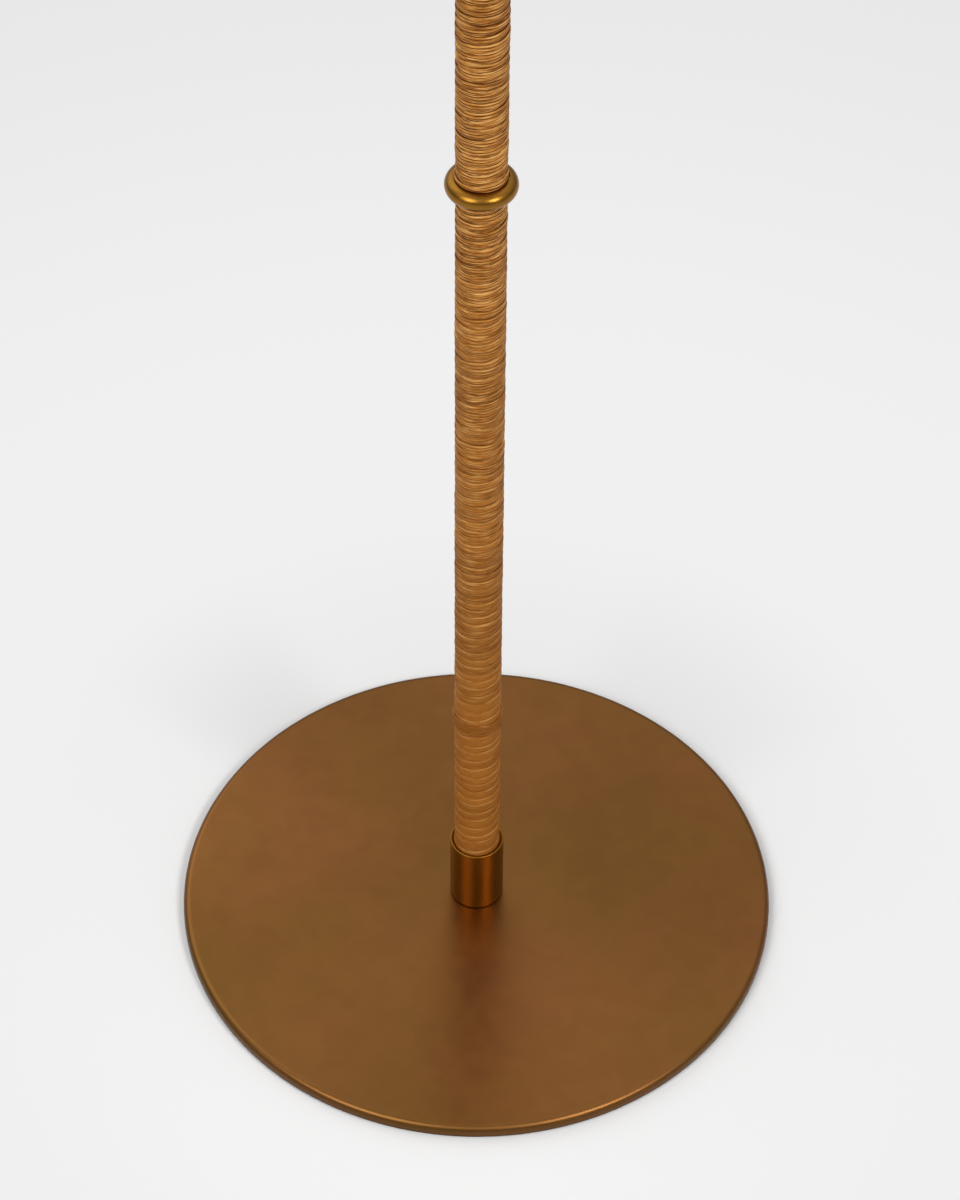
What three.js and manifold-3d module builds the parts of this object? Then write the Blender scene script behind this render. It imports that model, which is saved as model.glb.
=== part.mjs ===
// Rattan floor lamp: a wound post on a round brass base, with a socket, a harp and a linen shade
// Millimetres, +Z up. The origin is the centre of the underside, on the floor.
// The front is -Y, where the switch knob points. The cord leaves at the rear, +Y.

import * as THREE from 'three';
import { mergeVertices } from 'three/addons/utils/BufferGeometryUtils.js';
import Module from 'manifold-3d';

const wasm = await Module();
wasm.setup();

// Clearances: between pieces that touch, past a face that a cut goes through, and of a turning eye
const fitGap = 0.3;
const cutOverrun = 1;
const turningGap = 0.5;

// Base: a felt pad, a steel plate with a brass finish and a countersunk screw
const baseDiameter = 305;
const plateThickness = 6.4;
const plateEdgeRadius = 1.6;
const plateFootChamfer = 0.6;
const padInset = 4;
const padThickness = 0.8;
const padHoleRadius = 24;
const screwRadius = 4;
const screwLength = 22;
const screwHeadRadius = 8;
const screwHeadHeight = 4.2;
const screwSocketWidth = 5;
const screwSocketDepth = 2.4;

// Post: three steel tubes, with plugs at the ends and threaded couplers between them
const tubeRadius = 9.525;
const tubeWall = 1.5;
const plugHeight = 18;
const couplerLength = 44;
const couplerBoreRadius = 4.5;

// Winding: one strip of peel round each tube, its turns edge to edge
const postRadius = 11.5;
const grooveDepth = 0.6;
const turnWidth = 8;
const woundLength = 430;
const footSwell = 0.6;
const footSwellHeight = 8;

// Ferrules that hold the ends of the winding
const ferruleRadius = 13.7;
const ferruleHeight = 41;
const ferruleLipRadius = 0.7;
const ferruleRecessDepth = 8;
const topFerruleHeight = 30;
const topFerruleRoof = 3;

// Bead rings where the tubes meet
const beadRadius = 16.4;
const beadSectionRadius = 4.2;
const beadWebThickness = 3;

// Cord outlet: a snap bushing in the rear of the lower ferrule
const outletHeight = 26;
const bushingRadius = 4.6;
const bushingBoreRadius = 3.3;
const bushingFlangeRadius = 6.4;
const bushingFlangeThickness = 1.6;

// Threaded nipple, harp saddle and lock nut on the post
const nippleRadius = 4.85;
const nippleBoreRadius = 3.4;
const saddleThickness = 1.6;
const saddleWidth = 12.7;
const saddleBendRadius = 5;
const saddleHeight = 14;
const saddlePegRadius = 1.9;
const saddlePegHeight = 7;
const nutWidth = 14;
const nutThickness = 3.5;

// Socket: cap, shell, paper liner, body with the switch, screw shell and centre contact
const capHeight = 18;
const capBellHeight = 10;
const capNeckRadius = 8;
const capRadius = 19;
const capWall = 1.2;
const shellInsertion = 7;
const shellHeight = 46;
const shellWall = 0.9;
const shellBeadHeight = 3;
const shellBeadSwell = 0.8;
const linerWall = 0.8;
const linerHeight = 43;
const socketBodyHeight = 18;
const screwShellHeight = 24;
const screwShellWall = 0.8;
const screwShellFloorHole = 5.5;
const screwShellInset = 1;
const contactRadius = 3.8;
const contactHeight = 2.2;
const contactRimHeight = 0.8;

// Turn switch: a brass shaft and a fluted knob
const switchHeight = 9;
const shaftRadius = 1.75;
const shaftSeatDepth = 10;
const knobRadius = 6;
const knobFluteDepth = 0.7;
const knobLength = 14;
const knobStandoff = 5;
const knobSocketDepth = 9;

// Bulb: a screw cap and a glass globe
const bulbLength = 110;
const bulbRadius = 30;
const glassWall = 1;
const bulbCapHeight = 25;
const bulbCapWall = 1;
const bulbButtonRadius = 4.5;
const bulbButtonHeight = 2.5;
const bulbShoulderHeight = 5;
const bulbNeckInsertion = 15;

// Harp: a bent wire with a threaded stud, and two sleeves that lock its legs
const harpHeight = 216;
const harpWireRadius = 2;
const harpLegSpan = 57;
const harpWidth = 126;
const harpLegHeight = 36;
const harpWidestHeight = 118;
const sleeveLength = 15;
const sleeveWall = 1.3;
const studBarrelRadius = 5.2;
const studBarrelHalfHeight = 4.6;
const studShoulderRadius = 7.5;
const studShoulderThickness = 1.8;
const studRadius = 3.1;
const studHeight = 15;

// Shade: a linen-covered panel on two wire rings, hung by a spider
const shadeHeight = 280;
const shadeTopDiameter = 355;
const shadeBottomDiameter = 430;
const shadeWall = 1.6;
const shadeHem = 0.7;
const shadeWireRadius = 1.5;
const spiderDrop = 12.7;
const spiderEyeRadius = 11;
const spiderEyeThickness = 1.6;
const spiderSlopeLength = 34;

// Finial: a turned knob on the stud
const finialHeight = 38;
const finialFootRadius = 7.5;
const finialFootHeight = 3;
const finialNeckRadius = 4.6;
const finialBallRadius = 10.5;
const finialTipRadius = 3.2;
const finialTipHeight = 4.5;
const finialBoreDepth = 17;

// Facets round each kind of piece, and points round the winding
const baseSides = 48;
const shadeSides = 40;
const roundSides = 24;
const smallSides = 16;
const turnedSides = 18;
const wireSides = 8;
const ringSectionSides = 5;
const windingPoints = 10;

// A cubic curve that follows a quarter of an ellipse has its handles at this share of each axis
const ellipseHandleShare = 0.5523;

// Levels up the lamp, from the floor
const beadHalfHeight = beadSectionRadius + fitGap;
const levels = {};
levels.plateFoot = padThickness + fitGap;
levels.plateTop = levels.plateFoot + plateThickness;
levels.ferruleFoot = levels.plateTop + fitGap;
levels.ferruleTop = levels.ferruleFoot + ferruleHeight;
levels.outlet = levels.plateTop + outletHeight;
levels.beads = [0, 1].map((bead) => (
  levels.ferruleTop + (bead + 1) * woundLength + (2 * bead + 1) * beadHalfHeight
));
levels.topFerruleFoot = levels.beads[1] + beadHalfHeight + woundLength;
levels.topFerruleTop = levels.topFerruleFoot + topFerruleHeight;
levels.tubeTop = levels.topFerruleTop - topFerruleRoof - fitGap;
levels.saddleFoot = levels.topFerruleTop + fitGap;
levels.saddleTop = levels.saddleFoot + saddleHeight;
levels.nutFoot = levels.saddleFoot + saddleThickness + fitGap;
levels.capFoot = levels.nutFoot + nutThickness + fitGap;
levels.shellFoot = levels.capFoot + capHeight - shellInsertion;
levels.socketBodyFoot = levels.shellFoot + fitGap;
levels.socketBodyTop = levels.socketBodyFoot + socketBodyHeight;
levels.screwShellFoot = levels.socketBodyTop + fitGap;
levels.bulbFoot = levels.screwShellFoot + contactHeight + fitGap;
levels.switch = levels.socketBodyFoot + switchHeight;
levels.shoulder = levels.saddleFoot + harpHeight;
levels.harpTop = levels.shoulder - studShoulderThickness - studBarrelHalfHeight;
levels.harpFoot = levels.saddleTop + saddlePegHeight + fitGap;
levels.spider = levels.shoulder + fitGap;
levels.finialFoot = levels.spider + spiderEyeThickness + fitGap;
levels.topWire = levels.spider + spiderEyeThickness / 2 + spiderDrop;
levels.shadeTop = levels.topWire + shadeWireRadius + shadeHem;
levels.shadeFoot = levels.shadeTop - shadeHeight;
levels.bottomWire = levels.shadeFoot + shadeWireRadius + shadeHem;

// Radii that follow from the pieces round them
const tubeBore = tubeRadius - tubeWall;
const tubeSeat = tubeRadius + fitGap;
const insertRadius = tubeBore - fitGap;
const windingSeat = postRadius + fitGap;
const nippleSeat = nippleRadius + fitGap;
const shellRadius = capRadius - capWall - fitGap;
const linerRadius = shellRadius - shellWall - fitGap;
const socketBodyRadius = linerRadius - linerWall - fitGap;
const screwShellRadius = socketBodyRadius - screwShellInset;
const bulbCapRadius = screwShellRadius - screwShellWall - fitGap;
const bulbNeckRadius = bulbCapRadius - bulbCapWall - fitGap;
const harpLegOffset = harpLegSpan / 2;
const sleeveRadius = harpWireRadius + fitGap + sleeveWall;

// Merges shared corners, drops collapsed triangles and turns the faces outward
function closedBody(geometry) {
  const bare = geometry.clone();
  bare.deleteAttribute('normal');
  bare.deleteAttribute('uv');
  const merged = mergeVertices(bare);
  const position = merged.attributes.position;
  const corners = [new THREE.Vector3(), new THREE.Vector3(), new THREE.Vector3()];
  const triangles = [];
  let volume = 0;
  for (let start = 0; start < merged.index.count; start += 3) {
    const triangle = [0, 1, 2].map((corner) => merged.index.getX(start + corner));
    if (new Set(triangle).size < 3) continue;
    triangles.push(triangle);
    triangle.forEach((vertex, corner) => corners[corner].fromBufferAttribute(position, vertex));
    volume += corners[0].dot(corners[1].cross(corners[2]));
  }
  const facing = volume < 0 ? triangles.map(([a, b, c]) => [a, c, b]) : triangles;
  merged.setIndex(facing.flat());
  return merged;
}

function toSolid(geometry) {
  const body = closedBody(geometry);
  return new wasm.Manifold(new wasm.Mesh({
    numProp: 3,
    vertProperties: new Float32Array(body.attributes.position.array),
    triVerts: new Uint32Array(body.index.array),
  }));
}

function fromSolid(solid) {
  const { vertProperties, triVerts } = solid.getMesh();
  const geometry = new THREE.BufferGeometry();
  geometry.setAttribute('position', new THREE.BufferAttribute(vertProperties, 3));
  geometry.setIndex(new THREE.BufferAttribute(triVerts, 1));
  return geometry;
}

function cut(geometry, ...tools) {
  return fromSolid(tools.reduce((rest, tool) => rest.subtract(toSolid(tool)), toSolid(geometry)));
}

function join(...geometries) {
  return fromSolid(geometries.map(toSolid).reduce((sum, piece) => sum.add(piece)));
}

function keepInside(geometry, tool) {
  return fromSolid(toSolid(geometry).intersect(toSolid(tool)));
}

// Points of an arc in an outline, from one angle to the other, in degrees
function arc(centreRadius, centreHeight, radius, from, to, steps) {
  return Array.from({ length: steps + 1 }, (_, step) => {
    const angle = THREE.MathUtils.degToRad(THREE.MathUtils.lerp(from, to, step / steps));
    return [centreRadius + radius * Math.cos(angle), centreHeight + radius * Math.sin(angle)];
  });
}

// Turns an outline of [radius, height] points about Z; one that leaves the axis is closed on itself
function revolve(outline, sides) {
  const startsOnAxis = outline[0][0] === 0 && outline.at(-1)[0] === 0;
  const loop = startsOnAxis ? outline : [...outline, outline[0]];
  const lathe = new THREE.LatheGeometry(loop.map(([x, y]) => new THREE.Vector2(x, y)), sides);
  return lathe.rotateX(Math.PI / 2);
}

// A plain rod about Z between two levels
function rod(radius, foot, top, sides) {
  return revolve([[0, foot], [radius, foot], [radius, top], [0, top]], sides);
}

// A plain tube about Z between two levels
function sleeve(bore, radius, foot, top, sides) {
  return revolve([[bore, foot], [radius, foot], [radius, top], [bore, top]], sides);
}

// Lays a piece that was made about Z along Y instead, with its top to the rear
function layToRear(geometry) {
  return geometry.rotateX(-Math.PI / 2);
}

// A round wire along a curve
function wire(curve, radius, steps) {
  const section = new THREE.Shape().absarc(0, 0, radius, 0, 2 * Math.PI);
  const options = { steps, curveSegments: wireSides / 2, extrudePath: curve };
  return new THREE.ExtrudeGeometry(section, options);
}

function finish(color, roughness, metalness) {
  return () => new THREE.MeshStandardMaterial({ color, roughness, metalness });
}

const agedBrass = finish(0x7a502a, 0.42, 1);
const warmBrass = finish(0xb98a3c, 0.32, 1);
const steel = finish(0x8d8f90, 0.4, 1);
const rattanPeel = finish(0xa1713d, 0.62, 0);
const felt = finish(0x2b2622, 0.95, 0);
const phenolic = finish(0x1f1b19, 0.5, 0);
const paper = finish(0xb9a98a, 0.9, 0);
const frostedGlass = finish(0xf3efe6, 0.35, 0);
const linen = finish(0xe8deca, 0.9, 0);

function part(name, geometry, material) {
  const mesh = new THREE.Mesh(closedBody(geometry), material());
  mesh.name = name;
  return mesh;
}

function assembly(height, ...pieces) {
  const group = new THREE.Group();
  group.position.z = height;
  group.add(...pieces);
  return group;
}

// Base pieces

function basePad() {
  const pad = sleeve(padHoleRadius, baseDiameter / 2 - padInset, 0, padThickness, baseSides);
  return part('base_pad', pad, felt);
}

function basePlate() {
  const radius = baseDiameter / 2;
  const seat = screwHeadRadius + fitGap;
  const hole = screwRadius + fitGap;
  const bend = plateEdgeRadius;
  const edge = arc(radius - bend, plateThickness - bend, bend, 0, 90, 2);
  const outline = [
    [seat, 0],
    [radius - plateFootChamfer, 0],
    [radius, plateFootChamfer],
    ...edge,
    [hole, plateThickness],
    [hole, screwHeadHeight],
  ];
  return part('base_plate', revolve(outline, baseSides), agedBrass);
}

function baseScrew() {
  const outline = [
    [0, 0],
    [screwHeadRadius, 0],
    [screwRadius, screwHeadHeight],
    [screwRadius, screwLength],
    [0, screwLength],
  ];
  const key = rod(screwSocketWidth / Math.sqrt(3), -cutOverrun, screwSocketDepth, 6);
  return part('base_screw', cut(revolve(outline, smallSides), key), steel);
}

// Post pieces

function footPlug() {
  const depth = levels.plateFoot + screwLength - levels.ferruleFoot + fitGap;
  const hole = rod(screwRadius + fitGap, -cutOverrun, depth, smallSides);
  return part('foot_plug', cut(rod(insertRadius, 0, plugHeight, smallSides), hole), steel);
}

function topPlug() {
  return part('top_plug', sleeve(nippleSeat, insertRadius, 0, plugHeight, smallSides), steel);
}

function outletHole() {
  const hole = rod(bushingRadius + fitGap, 0, ferruleRadius + cutOverrun, smallSides);
  return layToRear(hole);
}

function postTube(name, foot, top) {
  const tube = sleeve(tubeBore, tubeRadius, 0, top - foot, roundSides);
  const holed = foot < levels.outlet && levels.outlet < top;
  const geometry = holed ? cut(tube, outletHole().translate(0, 0, levels.outlet - foot)) : tube;
  return assembly(foot, part(name, geometry, steel));
}

function coupler(name) {
  const half = couplerLength / 2;
  return part(name, sleeve(couplerBoreRadius, insertRadius, -half, half, smallSides), steel);
}

// A bead whose inner web is held between the ends of two tubes
function beadRing(name) {
  const centre = beadRadius - beadSectionRadius;
  const reach = THREE.MathUtils.radToDeg(Math.acos((tubeSeat - centre) / beadSectionRadius));
  const half = beadWebThickness / 2;
  const outline = [
    ...arc(centre, 0, beadSectionRadius, -reach, reach, 5),
    [tubeSeat, half],
    [tubeBore, half],
    [tubeBore, -half],
    [tubeSeat, -half],
  ];
  return part(name, revolve(outline, roundSides), warmBrass);
}

// The strip is wound as one helix: a crest line and a groove line climb side by side, and
// each groove meets the crest of the next turn. The ends are trimmed square.
function winding(name, length, swell) {
  const turns = Math.round(length / turnWidth);
  const pitch = length / turns;
  const count = (turns + 2) * windingPoints + 1;
  const positions = [];
  const addPoint = (point, lift, radius) => {
    const angle = 2 * Math.PI * point / windingPoints;
    const height = pitch * (point / windingPoints - 1 + lift);
    const near = THREE.MathUtils.clamp(1 - height / footSwellHeight, 0, 1);
    const reach = radius + swell * near * near;
    positions.push(reach * Math.cos(angle), reach * Math.sin(angle), height);
  };
  for (let point = 0; point < count; point += 1) {
    addPoint(point, 0, postRadius);
    addPoint(point, 0.5, postRadius - grooveDepth);
  }
  const crest = (point) => 2 * point;
  const groove = (point) => 2 * point + 1;
  const triangles = [];
  for (let point = 0; point < count - 1; point += 1) {
    triangles.push(crest(point), crest(point + 1), groove(point + 1));
    triangles.push(crest(point), groove(point + 1), groove(point));
    const above = point + windingPoints;
    if (above >= count - 1) continue;
    triangles.push(groove(point), groove(point + 1), crest(above + 1));
    triangles.push(groove(point), crest(above + 1), crest(above));
  }
  const last = count - 1;
  const turn = Array.from({ length: windingPoints + 1 }, (_, step) => step);
  const footLoop = [...turn.map(crest), groove(0)];
  const topLoop = [...turn.map((step) => groove(last - windingPoints + step)), crest(last)];
  const foot = positions.length / 3;
  positions.push(0, 0, positions[2]);
  positions.push(0, 0, positions[3 * groove(last) + 2]);
  footLoop.forEach((vertex, step) => {
    triangles.push(foot, footLoop[(step + 1) % footLoop.length], vertex);
  });
  topLoop.forEach((vertex, step) => {
    triangles.push(foot + 1, vertex, topLoop[(step + 1) % topLoop.length]);
  });
  const strip = new THREE.BufferGeometry();
  strip.setAttribute('position', new THREE.Float32BufferAttribute(positions, 3));
  strip.setIndex(triangles);
  printLeastGap(name, positions, count);
  const hull = rod(beadRadius, 0, length, roundSides);
  const bore = rod(tubeSeat, -cutOverrun, length + cutOverrun, roundSides);
  return part(name, cut(keepInside(strip, hull), bore), rattanPeel);
}

// Prints the least distance from a crest to the crest one turn above it
function printLeastGap(name, positions, count) {
  const here = new THREE.Vector3();
  const above = new THREE.Vector3();
  let least = Infinity;
  for (let point = 0; point + windingPoints < count; point += 1) {
    here.fromArray(positions, 6 * point);
    above.fromArray(positions, 6 * (point + windingPoints));
    least = Math.min(least, here.distanceTo(above));
  }
  console.log(`${name}: least gap between the crests of neighbouring turns ${least.toFixed(2)} mm`);
}

// A ferrule's outline: a recess for the winding at the top, a bore for the tube below it
// and, where the ferrule closes the post, a roof at its other end with a hole for the nipple
function ferruleOutline(height, roof) {
  const lip = ferruleLipRadius;
  const recess = height - ferruleRecessDepth;
  const open = [[tubeSeat, 0]];
  const closed = [[tubeSeat, roof], [nippleSeat, roof], [nippleSeat, 0]];
  const floor = roof > 0 ? closed : open;
  return [
    ...floor,
    ...arc(ferruleRadius - lip, lip, lip, -90, 0, 2),
    ...arc(ferruleRadius - lip, height - lip, lip, 0, 90, 2),
    [windingSeat, height],
    [windingSeat, recess],
    [tubeSeat, recess],
  ];
}

function baseFerrule() {
  const body = revolve(ferruleOutline(ferruleHeight, 0), roundSides);
  const hole = outletHole().translate(0, 0, levels.outlet - levels.ferruleFoot);
  return part('base_ferrule', cut(body, hole), agedBrass);
}

// The top ferrule stands the other way up
function topFerrule() {
  const body = revolve(ferruleOutline(topFerruleHeight, topFerruleRoof), roundSides);
  return part('top_ferrule', body.rotateX(Math.PI).translate(0, 0, topFerruleHeight), agedBrass);
}

// The bushing's flange is hollowed to sit on the round ferrule
function cordBushing() {
  const outside = ferruleRadius + fitGap + bushingFlangeThickness;
  const barrel = rod(bushingRadius, tubeBore, outside, smallSides);
  const flange = rod(bushingFlangeRadius, tubeBore, outside, smallSides);
  const bore = rod(bushingBoreRadius, tubeBore - cutOverrun, outside + cutOverrun, smallSides);
  const reach = bushingFlangeRadius + cutOverrun;
  const ferrule = rod(ferruleRadius + fitGap, -reach, reach, roundSides);
  const collar = cut(layToRear(flange), ferrule);
  const body = cut(join(collar, layToRear(barrel)), layToRear(bore));
  return part('cord_bushing', body, phenolic);
}

// Pieces on the nipple

function nipple() {
  const foot = levels.tubeTop - plugHeight;
  const top = levels.capFoot + capWall + nutThickness;
  const tube = sleeve(nippleBoreRadius, nippleRadius, 0, top - foot, smallSides);
  return assembly(foot, part('threaded_nipple', tube, steel));
}

// A bent strip with a peg on each raised end
function harpSaddle() {
  const outer = harpLegOffset + saddleThickness / 2;
  const inner = outer - saddleThickness;
  const bend = saddleBendRadius;
  const tightBend = bend - saddleThickness;
  const side = new THREE.Shape();
  side.moveTo(-outer, saddleHeight);
  side.lineTo(-outer, bend);
  side.absarc(-outer + bend, bend, bend, Math.PI, 1.5 * Math.PI);
  side.absarc(outer - bend, bend, bend, 1.5 * Math.PI, 2 * Math.PI);
  side.lineTo(outer, saddleHeight);
  side.lineTo(inner, saddleHeight);
  side.absarc(inner - tightBend, bend, tightBend, 0, -0.5 * Math.PI, true);
  side.absarc(-inner + tightBend, bend, tightBend, 1.5 * Math.PI, Math.PI, true);
  side.lineTo(-inner, saddleHeight);
  const strip = new THREE.ExtrudeGeometry(side, {
    depth: saddleWidth,
    bevelEnabled: false,
    curveSegments: 4,
  });
  strip.translate(0, 0, -saddleWidth / 2).rotateX(Math.PI / 2);
  const pegFoot = saddleHeight - saddleThickness;
  const pegTop = saddleHeight + saddlePegHeight;
  const pegs = [-1, 1].map((sideways) => (
    rod(saddlePegRadius, pegFoot, pegTop, wireSides).translate(sideways * harpLegOffset, 0, 0)
  ));
  const hole = rod(nippleSeat, -cutOverrun, saddleThickness + cutOverrun, smallSides);
  return part('harp_saddle', cut(join(strip, ...pegs), hole), agedBrass);
}

function lockNut() {
  const block = rod(nutWidth / Math.sqrt(3), 0, nutThickness, 6);
  const bore = rod(nippleSeat, -cutOverrun, nutThickness + cutOverrun, smallSides);
  return part('lock_nut', cut(block, bore), steel);
}

// Socket pieces

// One quarter of a bell, from its flat foot to its upright skirt
function bellCurve(radius, foot, top, steps) {
  return Array.from({ length: steps + 1 }, (_, step) => {
    const angle = (Math.PI / 2) * (step / steps);
    const reach = capNeckRadius + (radius - capNeckRadius) * Math.sin(angle);
    return [reach, foot + (top - foot) * (1 - Math.cos(angle))];
  });
}

function socketCap() {
  const outside = bellCurve(capRadius, 0, capBellHeight, 4);
  const inside = bellCurve(capRadius - capWall, capWall, capBellHeight, 3).reverse();
  const outline = [
    [nippleSeat, 0],
    ...outside,
    [capRadius, capHeight],
    [capRadius - capWall, capHeight],
    ...inside,
    [nippleSeat, capWall],
  ];
  return part('socket_cap', revolve(outline, roundSides), warmBrass);
}

// The hole runs from outside the body's front to the blind end of the shaft's seat
function switchHole() {
  const start = -capRadius - cutOverrun;
  const end = fitGap - shaftSeatDepth;
  return layToRear(rod(shaftRadius + fitGap, start, end, smallSides));
}

function socketShell() {
  const inside = shellRadius - shellWall;
  const swell = shellRadius + shellBeadSwell;
  const outline = [
    [inside, 0],
    [shellRadius, 0],
    [shellRadius, shellHeight - shellBeadHeight],
    [swell, shellHeight - shellBeadHeight / 2],
    [shellRadius, shellHeight],
    [inside, shellHeight],
  ];
  const hole = switchHole().translate(0, 0, levels.switch - levels.shellFoot);
  return part('socket_shell', cut(revolve(outline, roundSides), hole), warmBrass);
}

function socketLiner() {
  const tube = sleeve(linerRadius - linerWall, linerRadius, 0, linerHeight, roundSides);
  const hole = switchHole().translate(0, 0, levels.switch - levels.socketBodyFoot);
  return part('socket_liner', cut(tube, hole), paper);
}

// A solid moulding with a drilled seat for the switch shaft and a passage for the wires
function socketBody() {
  const roof = socketBodyHeight - contactHeight;
  const block = rod(socketBodyRadius, 0, socketBodyHeight, roundSides);
  const passage = rod(nippleBoreRadius, -cutOverrun, roof, roundSides);
  const seat = switchHole().translate(0, 0, switchHeight);
  return part('socket_body', cut(block, passage, seat), phenolic);
}

function screwShell() {
  const outline = [
    [screwShellFloorHole, 0],
    [screwShellRadius, 0],
    [screwShellRadius, screwShellHeight],
    [screwShellRadius - screwShellWall, screwShellHeight],
    [screwShellRadius - screwShellWall, screwShellWall],
    [screwShellFloorHole, screwShellWall],
  ];
  return part('screw_shell', revolve(outline, roundSides), warmBrass);
}

function centreContact() {
  const outline = [
    [0, 0],
    [contactRadius, 0],
    [contactRadius, contactRimHeight],
    [contactRadius / 2, contactHeight],
    [0, contactHeight],
  ];
  return part('centre_contact', revolve(outline, smallSides), warmBrass);
}

// Switch pieces, made about Z with the body's side at the foot, then laid toward the front

function switchShaft() {
  const end = capRadius + knobStandoff + knobSocketDepth - fitGap;
  const shaft = rod(shaftRadius, shaftSeatDepth, end, smallSides);
  return part('switch_shaft', shaft.rotateX(Math.PI / 2), warmBrass);
}

function switchKnob() {
  const foot = capRadius + knobStandoff;
  const flutes = 12;
  const outline = Array.from({ length: 2 * flutes }, (_, step) => {
    const reach = step % 2 ? knobRadius - knobFluteDepth : knobRadius;
    const angle = Math.PI * step / flutes;
    return new THREE.Vector2(reach * Math.cos(angle), reach * Math.sin(angle));
  });
  const fluted = new THREE.ExtrudeGeometry(new THREE.Shape(outline), {
    depth: knobLength,
    bevelEnabled: false,
  });
  const bore = rod(shaftRadius + fitGap, -cutOverrun, knobSocketDepth, smallSides);
  const knob = cut(fluted, bore).translate(0, 0, foot);
  return part('switch_knob', knob.rotateX(Math.PI / 2), phenolic);
}

// Bulb pieces

function bulbCap() {
  const inside = bulbCapRadius - bulbCapWall;
  const floor = bulbShoulderHeight + bulbCapWall;
  const outline = [
    [0, 0],
    [bulbButtonRadius, 0],
    [bulbButtonRadius + bulbCapWall, bulbButtonHeight],
    [bulbCapRadius, bulbShoulderHeight],
    [bulbCapRadius, bulbCapHeight],
    [inside, bulbCapHeight],
    [inside, floor],
    [0, floor],
  ];
  return part('bulb_cap', revolve(outline, roundSides), steel);
}

// One side of the glass: a straight neck, a curve that is tangent to the ball, and the ball
function glassCurve(neck, ball, steps) {
  const meetingAngle = -35;
  const centre = bulbLength - bulbRadius;
  const [start, ...round] = arc(0, centre, ball, meetingAngle, 90, steps);
  const slope = Math.tan(THREE.MathUtils.degToRad(90 + meetingAngle));
  const handle = new THREE.Vector2(neck, start[1] - (start[0] - neck) * slope);
  const neckTop = new THREE.Vector2(neck, bulbCapHeight);
  const throat = new THREE.QuadraticBezierCurve(neckTop, handle, new THREE.Vector2(...start));
  const foot = [neck, bulbCapHeight - bulbNeckInsertion];
  const flare = throat.getPoints(3).map((point) => point.toArray());
  return [foot, ...flare, ...round.slice(0, -1), [0, centre + ball]];
}

function bulbGlass() {
  const outside = glassCurve(bulbNeckRadius, bulbRadius, 7);
  const inside = glassCurve(bulbNeckRadius - glassWall, bulbRadius - glassWall, 5).reverse();
  return part('bulb_glass', revolve([...inside, ...outside], turnedSides), frostedGlass);
}

// Harp pieces

// The wire has an odd number of steps, so that the middle one lies straight through the stud
function harpBow() {
  const top = levels.harpTop - levels.saddleFoot;
  const foot = levels.harpFoot - levels.saddleFoot;
  const leg = foot + harpLegHeight;
  const half = harpWidth / 2;
  const bendHandle = (harpWidestHeight - leg) * ellipseHandleShare;
  const crownHandle = (top - harpWidestHeight) * ellipseHandleShare;
  const at = (x, z) => new THREE.Vector3(x, 0, z);
  const path = new THREE.CurvePath();
  path.add(new THREE.LineCurve3(at(-harpLegOffset, foot), at(-harpLegOffset, leg)));
  path.add(new THREE.CubicBezierCurve3(
    at(-harpLegOffset, leg),
    at(-harpLegOffset, leg + bendHandle),
    at(-half, harpWidestHeight - bendHandle),
    at(-half, harpWidestHeight),
  ));
  path.add(new THREE.CubicBezierCurve3(
    at(-half, harpWidestHeight),
    at(-half, harpWidestHeight + crownHandle),
    at(-half * ellipseHandleShare, top),
    at(0, top),
  ));
  path.add(new THREE.CubicBezierCurve3(
    at(0, top),
    at(half * ellipseHandleShare, top),
    at(half, harpWidestHeight + crownHandle),
    at(half, harpWidestHeight),
  ));
  path.add(new THREE.CubicBezierCurve3(
    at(half, harpWidestHeight),
    at(half, harpWidestHeight - bendHandle),
    at(harpLegOffset, leg + bendHandle),
    at(harpLegOffset, leg),
  ));
  path.add(new THREE.LineCurve3(at(harpLegOffset, leg), at(harpLegOffset, foot)));
  const oddSteps = 47;
  return part('harp_bow', wire(path, harpWireRadius, oddSteps), agedBrass);
}

function harpSleeve(name, sideways) {
  const tube = sleeve(harpWireRadius + fitGap, sleeveRadius, 0, sleeveLength, smallSides);
  const mesh = part(name, tube, agedBrass);
  mesh.position.set(sideways * harpLegOffset, 0, levels.saddleTop + fitGap);
  return mesh;
}

// The stud's barrel is drilled across for the wire
function harpStud() {
  const shoulder = levels.shoulder - levels.harpTop;
  const shoulderFoot = shoulder - studShoulderThickness;
  const outline = [
    [0, -studBarrelHalfHeight],
    [studBarrelRadius, -studBarrelHalfHeight],
    [studBarrelRadius, shoulderFoot],
    [studShoulderRadius, shoulderFoot],
    [studShoulderRadius, shoulder],
    [studRadius, shoulder],
    [studRadius, shoulder + studHeight],
    [0, shoulder + studHeight],
  ];
  const reach = studShoulderRadius + cutOverrun;
  const crossHole = rod(harpWireRadius + turningGap, -reach, reach, smallSides);
  const body = cut(revolve(outline, smallSides), crossHole.rotateY(Math.PI / 2));
  return part('harp_stud', body, agedBrass);
}

// Shade pieces, at their height above the foot of the shade

const shadeSlope = (shadeBottomDiameter - shadeTopDiameter) / 2 / shadeHeight;

function shadeRadiusAt(height) {
  return shadeBottomDiameter / 2 - shadeSlope * height;
}

// The wires lie just inside the panel
function shadeWireReach(height) {
  const lean = Math.hypot(1, shadeSlope);
  return shadeRadiusAt(height) - shadeWall - (fitGap + shadeWireRadius) * lean;
}

function shadePanel() {
  const bottom = shadeRadiusAt(0);
  const top = shadeRadiusAt(shadeHeight);
  const outline = [
    [bottom - shadeWall, 0],
    [bottom, 0],
    [top, shadeHeight],
    [top - shadeWall, shadeHeight],
  ];
  return part('shade_panel', revolve(outline, shadeSides), linen);
}

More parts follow.
